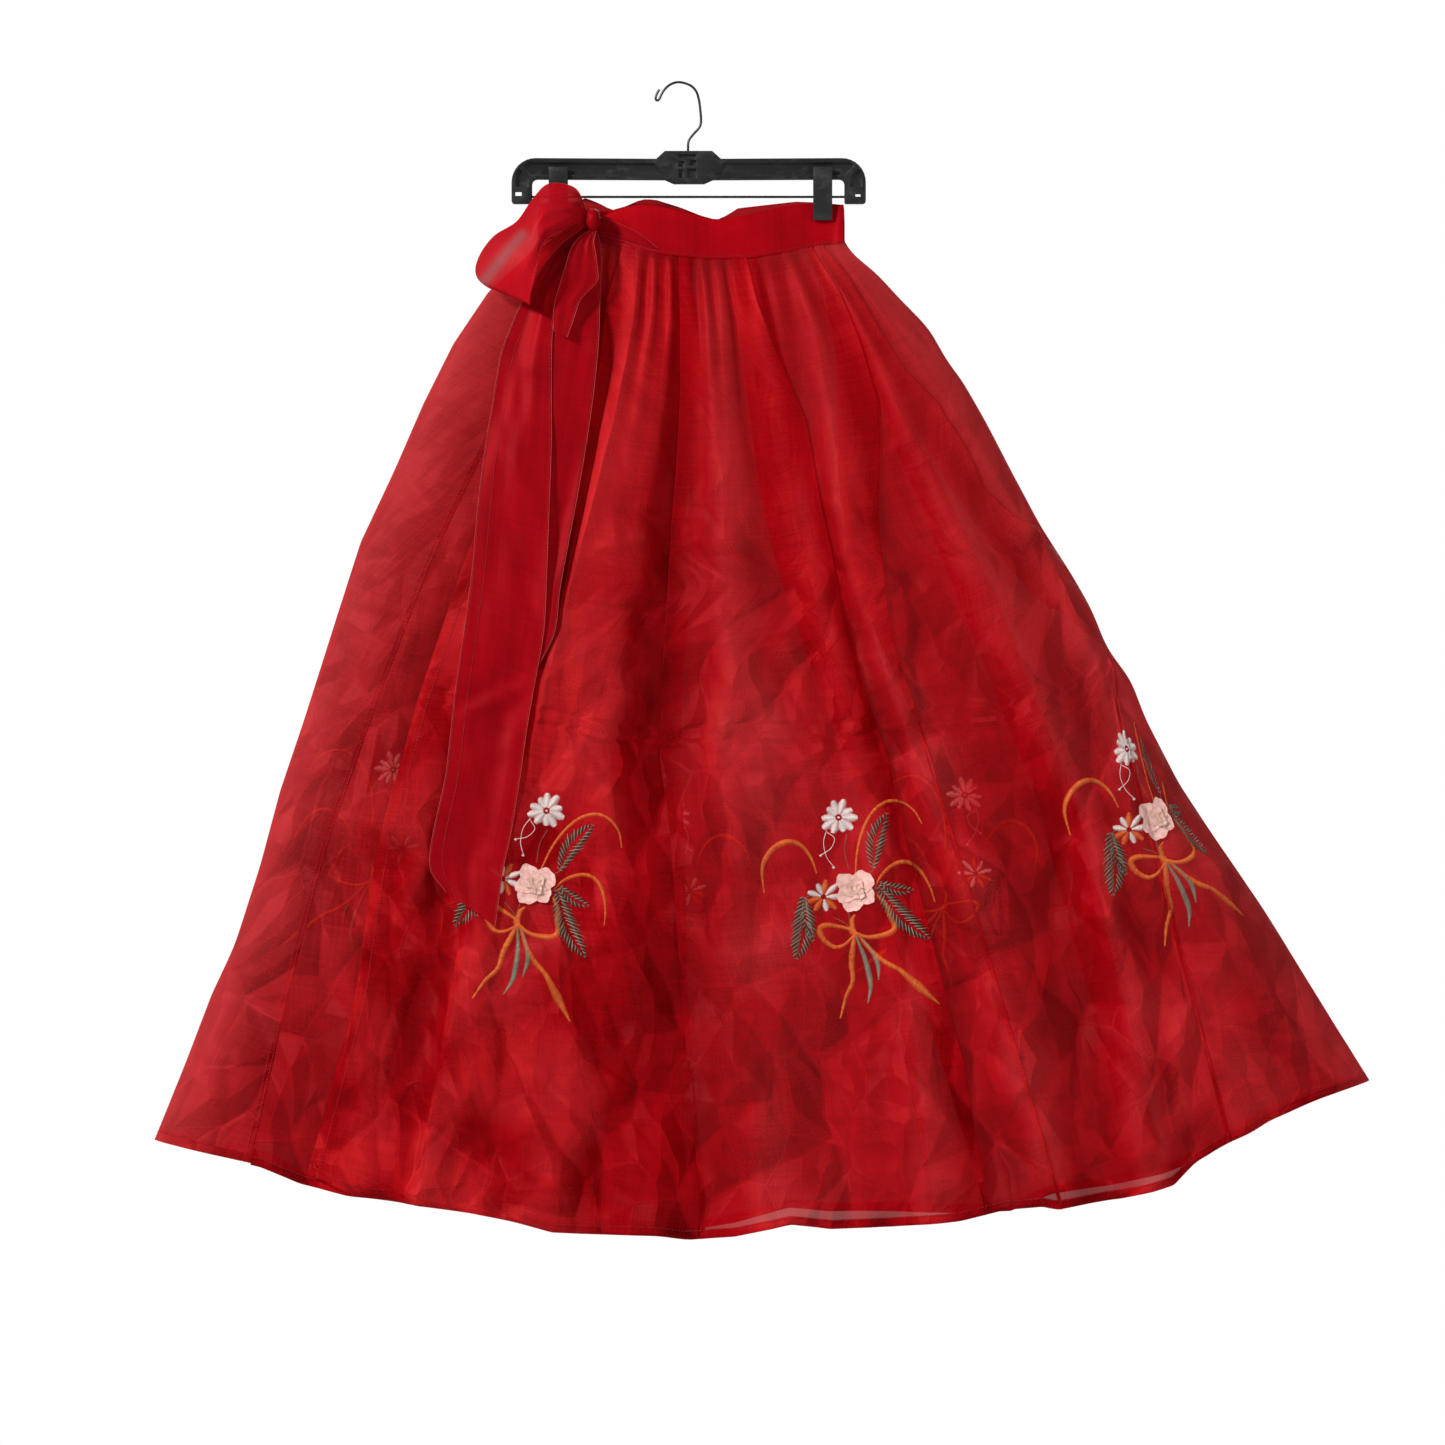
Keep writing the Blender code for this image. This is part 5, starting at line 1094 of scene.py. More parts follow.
def tail_points(top, rows, tip, cloud, start):
    """A tail laid on what is behind it, hanging in from the knot at its top."""
    middle = [{"left": (left, down), "right": (right, down)}
              for down, left, right in zip(rows["down"], rows["left"], rows["right"])]
    edges = [*top, *middle, *tip]
    points = np.zeros((len(edges), TAIL_COLUMNS + 1, 3))
    for r, edge in enumerate(edges):
        for c in range(TAIL_COLUMNS + 1):
            part = c / TAIL_COLUMNS
            across = edge["left"][0] + (edge["right"][0] - edge["left"][0]) * part
            down = edge["left"][1] + (edge["right"][1] - edge["left"][1]) * part
            laid = foremost(cloud, across, down) - TAIL_CLEARANCE
            hung = np.interp(down, start["down"], start["out"])
            ripple = TAIL_RIPPLE * math.cos(math.pi * (c + TAIL_RIPPLE_SHIFT * r))
            points[r, c] = (across, min(laid, hung) - abs(ripple) * 0.5 - ripple * 0.5, down)
    flat = points[..., 1].mean(axis=1, keepdims=True) - 1.5
    level = (1.0 - TAIL_FLAT_SHARE) * points[..., 1] + TAIL_FLAT_SHARE * flat
    points[TAIL_FLAT_FROM:, :, 1] = level[TAIL_FLAT_FROM:]
    return points


def turned_side(points, width, behind):
    """Adds the turned hem along the first column of a sheet, lying close behind it."""
    steps = np.linalg.norm(np.diff(points, axis=1), axis=2)
    along = np.concatenate([np.zeros((len(points), 1)), np.cumsum(steps, axis=1)], axis=1)
    columns = []
    for part in (1.0, 0.8, 0.6, 0.4, 0.2, 0.06, 0.0):
        place = np.stack([[np.interp(min(part * width, along[r, -1]), along[r], points[r, :, k])
                           for r in range(len(points))] for k in range(3)], axis=1)
        place[:, 1] += behind * (1.0 if part > 0.0 else 0.5)
        columns.append(place[:, None])
    return np.concatenate([*columns, points], axis=1)


def sash_sheet(name, node, points, finish=red_sash, cover=SASH_COVER):
    piece = sheet_object(name, points, finish, cover, sides=False)
    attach(piece, "root")
    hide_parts(node)


front_cloud = np.concatenate([p[::2].reshape(-1, 3) for p in (front_points, under_points, wrap_points)])
front_cloud = front_cloud[(front_cloud[:, 0] > 400) & (front_cloud[:, 0] < 640)]
tail_back = tail_points(BACK_TAIL_TOP, BACK_TAIL, (), front_cloud, BACK_TAIL_START)
tail_back = finer(finer(tail_back, 6, 0), 3, 1)
creased(tail_back, TAIL_CREASES, -1.0)
rumpled(tail_back, 1.0, 40.0, 41.0, -1.0)
front_cloud = np.concatenate([front_cloud, tail_back.reshape(-1, 3)])
tail_front = tail_points(FRONT_TAIL_TOP, FRONT_TAIL, FRONT_TAIL_TIP, front_cloud, FRONT_TAIL_START)
tail_front = finer(finer(tail_front, 6, 0), 4, 1)
creased(tail_front, TAIL_CREASES, -1.0)
rumpled(tail_front, 1.0, 45.0, 43.0, -1.0)
crumpled(tail_front, 30.0, 1.1, 44, -1.0, 0.6)
sash_sheet("tail_back_cloth", "sash_tail_back", turned_side(tail_back[:, ::-1], 2.6, 0.8)[:, ::-1])
sash_sheet("tail_front_cloth", "sash_tail_front", turned_side(tail_front, TAIL_HEM_WIDTH, 0.9))

# Loop of the bow: each row gives the upper and the lower edge of the ribbon as across, down and out
BOW_LOOP = (
    {"upper": (585.8, 209, -22), "lower": (582.9, 219, -24), "puff": 1},
    {"upper": (578, 190, -24), "lower": (573, 225, -36), "puff": 6},
    {"upper": (564, 183, -25), "lower": (561, 233, -45), "puff": 9},
    {"upper": (546, 184, -26), "lower": (548, 241, -52), "puff": 11},
    {"upper": (531, 200, -26), "lower": (542, 251, -57), "puff": 12},
    {"upper": (516, 221, -26), "lower": (540, 262, -61), "puff": 12},
    {"upper": (494, 235, -26), "lower": (537, 274, -63), "puff": 11},
    {"upper": (480, 253, -26), "lower": (534, 286, -62), "puff": 8},
    {"upper": (475, 270, -25), "lower": (531, 297, -58), "puff": 4},
    {"upper": (481, 282, -27), "lower": (530, 305, -53), "puff": 1},
    {"upper": (497, 289, -27), "lower": (531, 303, -46), "puff": -2},
    {"upper": (516, 273, -27), "lower": (533, 288, -41), "puff": -2},
    {"upper": (536, 251, -26.5), "lower": (543, 267, -37), "puff": -2},
    {"upper": (560, 232, -25.5), "lower": (562, 243, -31), "puff": -1},
    {"upper": (583.2, 216, -20.5), "lower": (584.4, 226, -22), "puff": 0},
)
SHORT_END = (
    {"left": (588.4, 230.6, -25), "right": (596.2, 230.6, -24.5)},
    {"left": (577, 239, -30), "right": (594, 241, -28.5)},
    {"left": (570, 250, -33), "right": (596, 254, -31)},
    {"left": (565, 268, -36), "right": (598, 270, -33)},
    {"left": (560, 284, -38), "right": (597, 282, -34)},
    {"left": (555, 301, -38), "right": (581, 300, -36)},
    {"left": (553, 318, -37), "right": (574, 320, -35)},
    {"left": (554, 331, -35), "right": (568, 337, -33)},
)
KNOT_CENTRE = (592.6, 219.0, -19.3)
KNOT_HALVES = (8.6, 13.2, 12.2)
WRAP_STRIP = (
    {"across": 598.6, "upper": 215, "lower": 233}, {"across": 612, "upper": 219, "lower": 237},
    {"across": 624, "upper": 224, "lower": 240}, {"across": 636, "upper": 230, "lower": 244},
    {"across": 648, "upper": 238, "lower": 247.5}, {"across": 657, "upper": 246, "lower": 249.5},
)
LOOP_PLEATS = {"count": 3.5, "depth": 2.2, "reach": 34.0}
END_PLEATS = {"count": 2.5, "depth": 1.6, "reach": 30.0}


def ribbon_points(rows, first, last, columns):
    """A sheet from rows that give its two edges, puffed out between them."""
    points = np.zeros((len(rows), columns + 1, 3))
    for r, row in enumerate(rows):
        a, b = np.array(row[first], float), np.array(row[last], float)
        for c in range(columns + 1):
            part = c / columns
            across, down, out = a + (b - a) * part
            points[r, c] = (across, out - row.get("puff", 0.0) * math.sin(math.pi * part), down)
    return points


def pleated(points, pleats):
    """Pleats that run out of the knot and fade along the ribbon."""
    away = np.hypot(points[..., 0] - KNOT_CENTRE[0], points[..., 2] - KNOT_CENTRE[1])
    part = np.linspace(0.0, 1.0, points.shape[1])[None, :]
    clear = np.clip(away / 12.0 - 0.8, 0.0, 1.0)
    wave = pleats["depth"] * clear * np.sin(2 * np.pi * pleats["count"] * part)
    points[..., 1] += wave * np.exp(-away / pleats["reach"])


loop_points = finer(finer(ribbon_points(BOW_LOOP, "upper", "lower", 5), 7, 0), 6, 1)
pleated(loop_points, LOOP_PLEATS)
rumpled(loop_points, 1.6, 22.0, 51.0, -1.0)
crumpled(loop_points, 17.0, 2.0, 52, -1.0, 1.0)
loop_whole = turned_side(loop_points[:, ::-1], 2.0, -0.7)
(slit_x, slit_y), (slit_end_x, slit_end_y) = LOOP_SLIT["from"], LOOP_SLIT["to"]
slit_length = math.hypot(slit_end_x - slit_x, slit_end_y - slit_y)
slit_way = ((slit_end_x - slit_x) / slit_length, (slit_end_y - slit_y) / slit_length)
from_slit_x, from_slit_y = loop_whole[..., 0] - slit_x, loop_whole[..., 2] - slit_y
along_slit = np.clip(from_slit_x * slit_way[0] + from_slit_y * slit_way[1], 0.0, slit_length)
off_slit = np.hypot(from_slit_x - along_slit * slit_way[0], from_slit_y - along_slit * slit_way[1])
loop_cover = LOOP_COVER - LOOP_SLIT["open"] * np.exp(-(off_slit / LOOP_SLIT["reach"]) ** 2)
sash_sheet("bow_loop_cloth", "sash_loop", loop_whole, red_loop,
           loop_cover)
short_points = ribbon_points(SHORT_END, "left", "right", 4)
tail_cloud = np.concatenate([front_cloud, tail_front.reshape(-1, 3)])
for point in short_points.reshape(-1, 3):
    point[1] = min(point[1], foremost(tail_cloud, point[0], point[2]) - TAIL_CLEARANCE)
short_points = finer(finer(short_points, 6, 0), 6, 1)
pleated(short_points, END_PLEATS)
rumpled(short_points, 1.4, 18.0, 57.0, -1.0)
crumpled(short_points, 13.0, 1.4, 58, -1.0, 1.0)
sash_sheet("short_end_cloth", "sash_short_end", turned_side(short_points[:, ::-1], 2.4, 0.8))

STRAP_ROWS = 4
STRAP_LIFT = 2.2
STRAP_RIPPLE = 0.5
strap_points = np.zeros((STRAP_ROWS + 1, len(WRAP_STRIP), 3))
for c, row in enumerate(WRAP_STRIP):
    for r in range(STRAP_ROWS + 1):
        down = row["upper"] + (row["lower"] - row["upper"]) * r / STRAP_ROWS
        out = band_depth(row["across"], "front") - STRAP_LIFT - STRAP_RIPPLE * math.sin(2.2 * r + 0.7 * c)
        strap_points[r, c] = (row["across"], out, down)
strap_points = finer(finer(strap_points, 4, 0), 5, 1)
sash_sheet("strap_cloth", "sash_strap", strap_points)

# Knot: the sash wound once round itself, a small drum of cloth in deep pleats
KNOT_ROUND = 72
KNOT_RINGS = 36
KNOT_OPEN_END = 0.04
KNOT_COVER = 0.97
KNOT_PLEATS = {"wide": 0.05, "fine": 0.035, "waist": 0.12}
knot_rows = np.zeros((KNOT_RINGS + 1, KNOT_ROUND + 1, 3))
for r in range(KNOT_RINGS + 1):
    lift = KNOT_OPEN_END + (math.pi - 2.0 * KNOT_OPEN_END) * r / KNOT_RINGS
    for c in range(KNOT_ROUND + 1):
        turn = 2.0 * math.pi * c / KNOT_ROUND + math.pi / 2.0
        sway = math.sin(5.0 * turn + 0.9 * math.sin(2.0 * turn))
        pleat = 1.0 + KNOT_PLEATS["wide"] * sway * math.sin(lift) ** 2
        pleat += KNOT_PLEATS["fine"] * math.sin(11.0 * turn + 2.2 * lift) * math.sin(lift) ** 2
        waist = 1.0 - KNOT_PLEATS["waist"] * math.sin(lift) ** 6 * math.cos(turn) ** 2
        knot_rows[r, c] = (KNOT_CENTRE[0] + KNOT_HALVES[0] * math.sin(lift) * math.cos(turn) * pleat * waist,
                           KNOT_CENTRE[2] + KNOT_HALVES[1] * math.cos(lift),
                           KNOT_CENTRE[1] + KNOT_HALVES[2] * math.sin(lift) * math.sin(turn) * pleat)
knot_piece = sheet_object("knot_cloth", knot_rows, red_sash, KNOT_COVER, sides=False)
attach(knot_piece, "root")
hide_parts("sash_knot")


# Sewing: lockstitch in red thread along the turned hems, the wrap's free edge, the join seam, the band and
# the edges of the sash, each stitch a short rounded length of thread
STITCH_SPACING = 0.0034
STITCH_HALF_LENGTH = 0.0012
STITCH_HALF_WIDTH = 0.00028
# where the lines of stitches run, in millimetres from an edge and out from the cloth
HEM_SEAM = 0.92
SEAM_OUT = 0.45
SASH_SEAM_OUT = 0.4
SASH_SEAM_ASIDE = 1.8
BAND_SEAM_OUT = 0.35
BAND_OUTSIDE_FROM = 40
EDGE_ASIDE = 0.3
EDGE_SPACING = 0.0013
EDGE_HALF_LENGTH = 0.0011
EDGE_HALF_WIDTH = 0.00034


class Pattern(Nodes):
    """A Geometry Nodes tree with named inputs, run once over curves and kept as a plain mesh."""

    def __init__(self, name, inputs):
        self.tree = bpy.data.node_groups.new(name, "GeometryNodeTree")
        self.tree.interface.new_socket("Geometry", in_out="OUTPUT", socket_type="NodeSocketGeometry")
        self.tree.interface.new_socket("Curves", in_out="INPUT", socket_type="NodeSocketGeometry")
        for key, kind in inputs.items():
            self.tree.interface.new_socket(key, in_out="INPUT", socket_type="NodeSocket" + kind)
        self.start = self.tree.nodes.new("NodeGroupInput")

    def given(self, key):
        return Value(self, self.start.outputs[key])

    def sewn(self, spots, turned, half_length):
        """A length of thread on each spot, with its own shade, realized and in its material."""
        thread = self.node("GeometryNodeObjectInfo", {}, {"Object": self.given("Thread")}, out="Geometry")
        size = self.node("ShaderNodeCombineXYZ", {}, {
            "X": self.given("Half Width"), "Y": half_length, "Z": self.given("Half Width")})
        laid = self.node("GeometryNodeInstanceOnPoints", {}, {
            "Points": spots, "Instance": thread, "Rotation": turned, "Scale": size})
        chance = self.node("FunctionNodeRandomValue", {"data_type": "FLOAT"}, {"Seed": self.given("Seed")},
                           out=1)
        noted = self.node("GeometryNodeStoreNamedAttribute", {"data_type": "FLOAT", "domain": "INSTANCE"}, {
            "Geometry": laid, "Name": "shade", "Value": chance})
        kept = self.node("GeometryNodeRealizeInstances", {}, {"Geometry": noted})
        painted = self.node("GeometryNodeSetMaterial", {}, {"Geometry": kept, "Material": self.given("Finish")})
        self.node("NodeGroupOutput", {}, {"Geometry": painted})

    def made(self, name, curves, inputs):
        """The plain mesh that the tree makes from curves, each a list of points with radius and tilt."""
        lines = bpy.data.curves.new(name + "_lines", "CURVE")
        lines.dimensions = "3D"
        for line in curves:
            spline = lines.splines.new("POLY")
            spline.points.add(len(line) - 1)
            spline.points.foreach_set("co", [v for x, y, z, _, _ in line for v in (x, y, z, 1.0)])
            spline.points.foreach_set("radius", [point[3] for point in line])
            spline.points.foreach_set("tilt", [point[4] for point in line])
        drawn = in_scene(name + "_lines", lines)
        live = drawn.modifiers.new("pattern", "NODES")
        live.node_group = self.tree
        keys = {item.name: item.identifier for item in self.tree.interface.items_tree if item.in_out == "INPUT"}
        for key, value in inputs.items():
            live[keys[key]] = value
        bpy.context.view_layer.update()
        ready = drawn.evaluated_get(bpy.context.evaluated_depsgraph_get())
        mesh = bpy.data.meshes.new_from_object(ready)
        bpy.data.objects.remove(drawn)
        bpy.data.curves.remove(lines)
        return mesh


def thread_stub(name, rings):
    """One length of thread along Y, from -1 to 1, three-sided, swelling between its ends."""
    places = []
    for along, wide in rings:
        for corner in range(3):
            angle = 2.0 * math.pi * corner / 3.0 + math.pi / 2.0
            places.append((wide * math.cos(angle), along, wide * math.sin(angle)))
    count = len(rings)
    faces = [(3 * r + c, 3 * r + (c + 1) % 3, 3 * r + 3 + (c + 1) % 3, 3 * r + 3 + c)
             for r in range(count - 1) for c in range(3)]
    faces += [(2, 1, 0), (3 * count - 3, 3 * count - 2, 3 * count - 1)]
    mesh = bpy.data.meshes.new(name)
    mesh.from_pydata(places, [], faces)
    mesh.shade_smooth()
    turned = bmesh.new()
    turned.from_mesh(mesh)
    bmesh.ops.recalc_face_normals(turned, faces=turned.faces)
    turned.to_mesh(mesh)
    turned.free()
    return in_scene(name, mesh)


def sewing_thread(name, dark, light, roughness):
    """Twisted thread: each stitch a little lighter or darker, with the gloss of rayon."""
    thread = Finish(name)
    place = thread.node("ShaderNodeTexCoord", out=3)
    shade = thread.node("ShaderNodeAttribute", {"attribute_name": "shade"}, out=2)
    ply = thread.grain(place, 2200.0, (1.0, 1.0, 1.0), 1.0)
    patch = thread.grain(place, 60.0, detail=2.0)
    tone = shade * 0.5 + ply * 0.25 + patch * 0.4 - 0.08
    bump = thread.node("ShaderNodeBump", {}, {"Strength": 0.4, "Distance": 0.0002, "Height": ply})
    return thread.done(thread.node("ShaderNodeBsdfPrincipled", {}, {
        "Base Color": thread.mix(tone, dark, light), "Roughness": roughness + ply * 0.15, "Normal": bump,
        "Specular IOR Level": 0.35}))


red_thread = sewing_thread("red_thread", (0.20, 0.002, 0.006), (0.46, 0.012, 0.016), 0.4)
stitch_stub = thread_stub("stitch_stub", ((-1.0, 0.45), (-0.7, 1.0), (0.7, 1.0), (1.0, 0.45)))
stitching = Pattern("stitching", {"Spacing": "Float", "Half Length": "Float", "Half Width": "Float",
                                  "Thread": "Object", "Seed": "Int", "Finish": "Material"})
spots = stitching.node("GeometryNodeCurveToPoints", {"mode": "LENGTH"}, {
    "Curve": stitching.given("Curves"), "Length": stitching.given("Spacing")})
facing = stitching.node("FunctionNodeAlignRotationToVector", {"axis": "Y"}, {
    "Vector": Value(stitching, spots.socket.node.outputs["Tangent"])})
stitching.sewn(spots, facing, stitching.given("Half Length"))


def hem_line(points, width, out):
    """A stitched line that runs a little above the last row of a sheet."""
    up = points[-2] - points[-1]
    up /= np.linalg.norm(up, axis=1, keepdims=True)
    line = points[-1] + up * width
    line[:, 1] += out
    return line


def column_line(points, width, out, first=True):
    """A stitched line beside the first or the last column of a sheet."""
    sheet = points if first else points[:, ::-1]
    steps = np.linalg.norm(np.diff(sheet, axis=1), axis=2)
    along = np.concatenate([np.zeros((len(sheet), 1)), np.cumsum(steps, axis=1)], axis=1)
    line = np.stack([[np.interp(width, along[r], sheet[r, :, k]) for r in range(len(sheet))]
                     for k in range(3)], axis=1)
    line[:, 1] += out
    return line


HEM_TURN_ROWS = len(HEM_TURN_PATH) - 1
front_flat, under_flat, back_flat = [p[:-HEM_TURN_ROWS] for p in (front_points, under_points, back_points)]
wrap_flat = back_flat[:, -wrap_points.shape[1]:]
wrap_to_join = wrap_flat[:, :WRAP_COLUMNS]
band_seam = band_points[-2, BAND_OUTSIDE_FROM:].copy()
band_seam[:, :2] -= outward[BAND_OUTSIDE_FROM:] * BAND_SEAM_OUT
stitch_lines = [
    hem_line(front_flat, HEM_WIDTH * HEM_SEAM, -SEAM_OUT),
    hem_line(under_flat, HEM_WIDTH * HEM_SEAM, -SEAM_OUT),
    hem_line(back_flat[:, :-wrap_points.shape[1]], HEM_WIDTH * HEM_SEAM, SEAM_OUT),
    hem_line(wrap_to_join, HEM_WIDTH * HEM_SEAM, -SEAM_OUT),
    column_line(front_flat[:, len(HEM_TURN_PATH) - 1:], FREE_HEM_WIDTH * 0.9, -SEAM_OUT),
    column_line(wrap_to_join, 1.4, -SEAM_OUT, first=False),
    column_line(wrap_to_join, 5.8, -SEAM_OUT, first=False),
    band_seam, column_line(tail_front, TAIL_HEM_WIDTH * 0.93, -SASH_SEAM_OUT),
    column_line(tail_front, 1.6, -SASH_SEAM_OUT),
    column_line(tail_front, SASH_SEAM_ASIDE, -SASH_SEAM_OUT, first=False),
    column_line(tail_back, SASH_SEAM_ASIDE, -SASH_SEAM_OUT, first=False),
    column_line(loop_points, 2.0, -0.3, first=False),
    column_line(short_points, 2.0, -SASH_SEAM_OUT, first=False),
]


def thread_curves(lines):
    return [[(*place, 1.0, 0.0) for place in in_metres(line).tolist()] for line in lines]


stitch_mesh = stitching.made("stitches", thread_curves(stitch_lines), {
    "Spacing": STITCH_SPACING, "Half Length": STITCH_HALF_LENGTH, "Half Width": STITCH_HALF_WIDTH,
    "Thread": stitch_stub, "Seed": 5, "Finish": red_thread})
stitch_piece = in_scene("stitches", stitch_mesh)
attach(stitch_piece, "root")

# Pressed edges: where the sash's doubled cloth is turned, its stiff edge stands as a fine roll, in thread
# lighter than the sash: a painted highlight along the edges
edge_highlight_thread = sewing_thread("red_edge_highlight", (0.34, 0.004, 0.009), (0.62, 0.03, 0.036), 0.4)
EDGED = (
    (tail_front, True, -0.25), (tail_front, False, -0.25), (tail_back, False, -0.25), (tail_back, True, -0.25),
    (loop_points, True, -0.2), (loop_points, False, -0.2), (short_points, True, -0.2),
    (short_points, False, -0.2),
)
edge_lines = [column_line(points, EDGE_ASIDE, out, first) for points, first, out in EDGED]
edge_lines += [strap_points[0] + np.array([0.0, -0.3, 0.2]), strap_points[-1] + np.array([0.0, -0.3, -0.2])]
edge_mesh = stitching.made("pressed_edges", thread_curves(edge_lines), {
    "Spacing": EDGE_SPACING, "Half Length": EDGE_HALF_LENGTH, "Half Width": EDGE_HALF_WIDTH,
    "Thread": stitch_stub, "Seed": 9, "Finish": edge_highlight_thread})
edge_piece = in_scene("pressed_edges", edge_mesh)
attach(edge_piece, "root")


# Embroidery: six sprays of satin stitch in rayon thread, three on the front and three on the back: a
# daisy, a small flower and a rose of layered petals, leaves in fishbone stitch, and an orange ribbon
# tied in a bow. Drawn flat in millimetres from the bow's knot, then sewn onto the cloth.
SATIN_PITCH = 0.00062
LEAF_PITCH = 0.0040
LEAF_HALF_WIDTH = 0.00060
LEAF_GROUND_PITCH = 0.0011
THREAD_HALF_WIDTH = 0.00042
EMBROIDERY_LIFT = 0.00012
EDGE_SPACE = 0.008
EDGE_REACH = 0.045
# curve of the ribbon, with its width at even steps along it
ORANGE_RIBBONS = (
    {"path": ((1, -58), (2, -76), (5, -92), (11, -108), (20, -121), (33, -129), (47, -128), (59, -120),
              (67, -107)),
     "width": (1.9, 3.1, 3.8, 3.1, 1.4)},
    {"path": ((20, -44), (26, -55), (35, -64), (46, -69), (57, -67), (67, -58), (75, -44), (80, -29)),
     "width": (1.7, 4.1, 4.3, 3.4, 1.2)},
    {"path": ((-38, -58), (-43, -72), (-52, -84), (-64, -89), (-77, -85), (-87, -75), (-92, -61), (-90, -38)),
     "width": (1.7, 4.1, 6.5, 5.5, 1.4)},
    {"path": ((22, -36), (30, -28), (35, -16), (40, -5), (36, 1), (24, 5), (12, 6), (1, 2)),
     "width": (2.9, 6.2, 6.7, 5.3, 2.9)},
    {"path": ((0, -1), (-14, -4), (-28, -6), (-35, -2), (-31, 8), (-20, 16), (-9, 13), (0, 3)),
     "width": (2.6, 5.5, 6.5, 4.3, 2.4)},
    {"path": ((0, -16), (-3, -10), (-1, 0)), "width": (2.4, 5.5, 4.8)},
    {"path": ((0, 2), (-2, 18), (-3, 34), (-2, 50), (-9, 66), (-14, 86)), "width": (3.6, 6.5, 5.3, 4.3, 1.9)},
    {"path": ((3, 3), (14, 17), (29, 30), (44, 38), (58, 50), (70, 60), (84, 72)),
     "width": (3.1, 5.5, 5.0, 9.6, 1.7)},
    {"path": ((-5, -3), (0, 3), (6, 4)), "width": (4.8, 8.9, 4.8)},
)
LEAF_BLADES = (
    {"path": ((1, 5), (9, 24), (14, 42), (16, 56), (13, 71)), "width": (2.0, 5.0, 6.4, 5.0, 1.2)},
    {"path": ((6, 6), (17, 20), (23, 33), (24, 48)), "width": (2.0, 4.6, 5.6, 1.4)},
)
LEAVES = (
    {"from": (18, -64), "to": (32, -117), "width": 21, "bend": 4},
    {"from": (26, -48), "to": (58, -41), "width": 13, "bend": -3},
    {"from": (24, -44), "to": (74, 7), "width": 23, "bend": -5},
    {"from": (-51, -33), "to": (-58, 27), "width": 26, "bend": 4},
    {"from": (-49, -31), "to": (-41, 9), "width": 12, "bend": -3},
)
STEMS = (
    ((-8, -96), (-10, -80), (-6, -62)), ((-20, -13), (-10, -8), (-3, -2)), ((-6, -20), (-5, -10), (-1, -2)),
    ((4, -50), (14, -58), (20, -66), (30, -108)), ((16, -40), (30, -46), (54, -42)),
    ((18, -38), (34, -36), (70, 3)),
    ((-36, -34), (-50, -30), (-56, 22)), ((-50, -30), (-42, 4)),
)
TENDRILS = (
    ((-28, -100), (-31, -88), (-28, -74), (-21, -64)), ((-27, -98), (-20, -92), (-24, -82), (-33, -76)),
)
DAISY = {"centre": (-16, -113), "petals": 10, "from": 3.6, "to": 18.5, "width": 8.2}
SMALL_FLOWER = {"centre": (-31, -34), "petals": 9, "from": 3.0, "to": 18.0, "width": 6.2}
ORANGE_PETALS = (1, 3, 4, 7)
CREAM_PETALS = (0, 2, 5, 6, 8)
FLOWER_DOTS = ((-21, -63), (-34, -75), (-16, -113))
ROSE_CENTRE = (0, -41)
# the bow knot's place on the drawing, turn in degrees, and the side of the skirt
SPRAYS = (
    {"knot": (520, 921), "turn": 22, "side": "front"}, {"knot": (854, 930), "turn": 0, "side": "front"},
    {"knot": (1164, 858), "turn": -9, "side": "front"}, {"knot": (366, 882), "turn": -4, "side": "back"},
    {"knot": (660, 928), "turn": 2, "side": "back"}, {"knot": (946, 908), "turn": -3, "side": "back"},
)


def satin(path, width, slant=0.0, steps=5):
    """A band of satin stitch along a smooth path: points with half its width as radius, slant as tilt."""
    line = finer(np.array(path, float), steps, 0)
    share = np.linspace(0.0, 1.0, len(line))
    wide = np.interp(share, np.linspace(0.0, 1.0, len(width)), width)
    return [(x * MM, -y * MM, 0.0, w / 2.0, slant) for (x, y), w in zip(line.tolist(), wide)]


def petal_lines(flower, chosen=None):
    """The petals of a flower, or the chosen ones, each a band of satin stitch out from its centre."""
    lines = []
    for index in range(flower["petals"]):
        if chosen is not None and index not in chosen:
            continue
        angle = 2.0 * math.pi * index / flower["petals"] + 0.07 * math.sin(2.3 * index)
        reach = flower["to"] * (0.9 + 0.12 * math.sin(1.7 * index + 1.0))
        x, y = flower["centre"]
        ends = [(x + r * math.cos(angle), y + r * math.sin(angle))
                for r in (flower["from"], 0.55 * reach, reach)]
        w = flower["width"]
        lines.append(satin(ends, (0.3 * w, 0.65 * w, 0.95 * w, w, 0.55 * w), 0.1))
    return lines


def leaf_lines(leaf, reach=1.0, lift=0.0):
    """Both halves of a leaf, in stitches that lean out from its middle towards the tip."""
    (x0, y0), (x1, y1) = leaf["from"], leaf["to"]
    length = math.hypot(x1 - x0, y1 - y0)
    ax, ay = (y1 - y0) / length, -(x1 - x0) / length
    lines = []
    for hand in (-1.0, 1.0):
        rows = []
        for step in range(13):
            part = step / 12.0
            wide = leaf["width"] / 2.0 * math.sin(math.pi * min(1.0, part * 0.92 + 0.06)) ** 0.8
            wide *= 0.86 + 0.18 * ((step + (hand > 0)) % 2)
            aside = hand * (wide * 0.5 + 0.5) + leaf["bend"] * math.sin(math.pi * part)
            rows.append(((x0 + (x1 - x0) * part + ax * aside) * MM, -(y0 + (y1 - y0) * part + ay * aside) * MM,
                         lift, wide * 0.62 * reach, -0.75 * hand))
        lines.append(rows)
    return lines


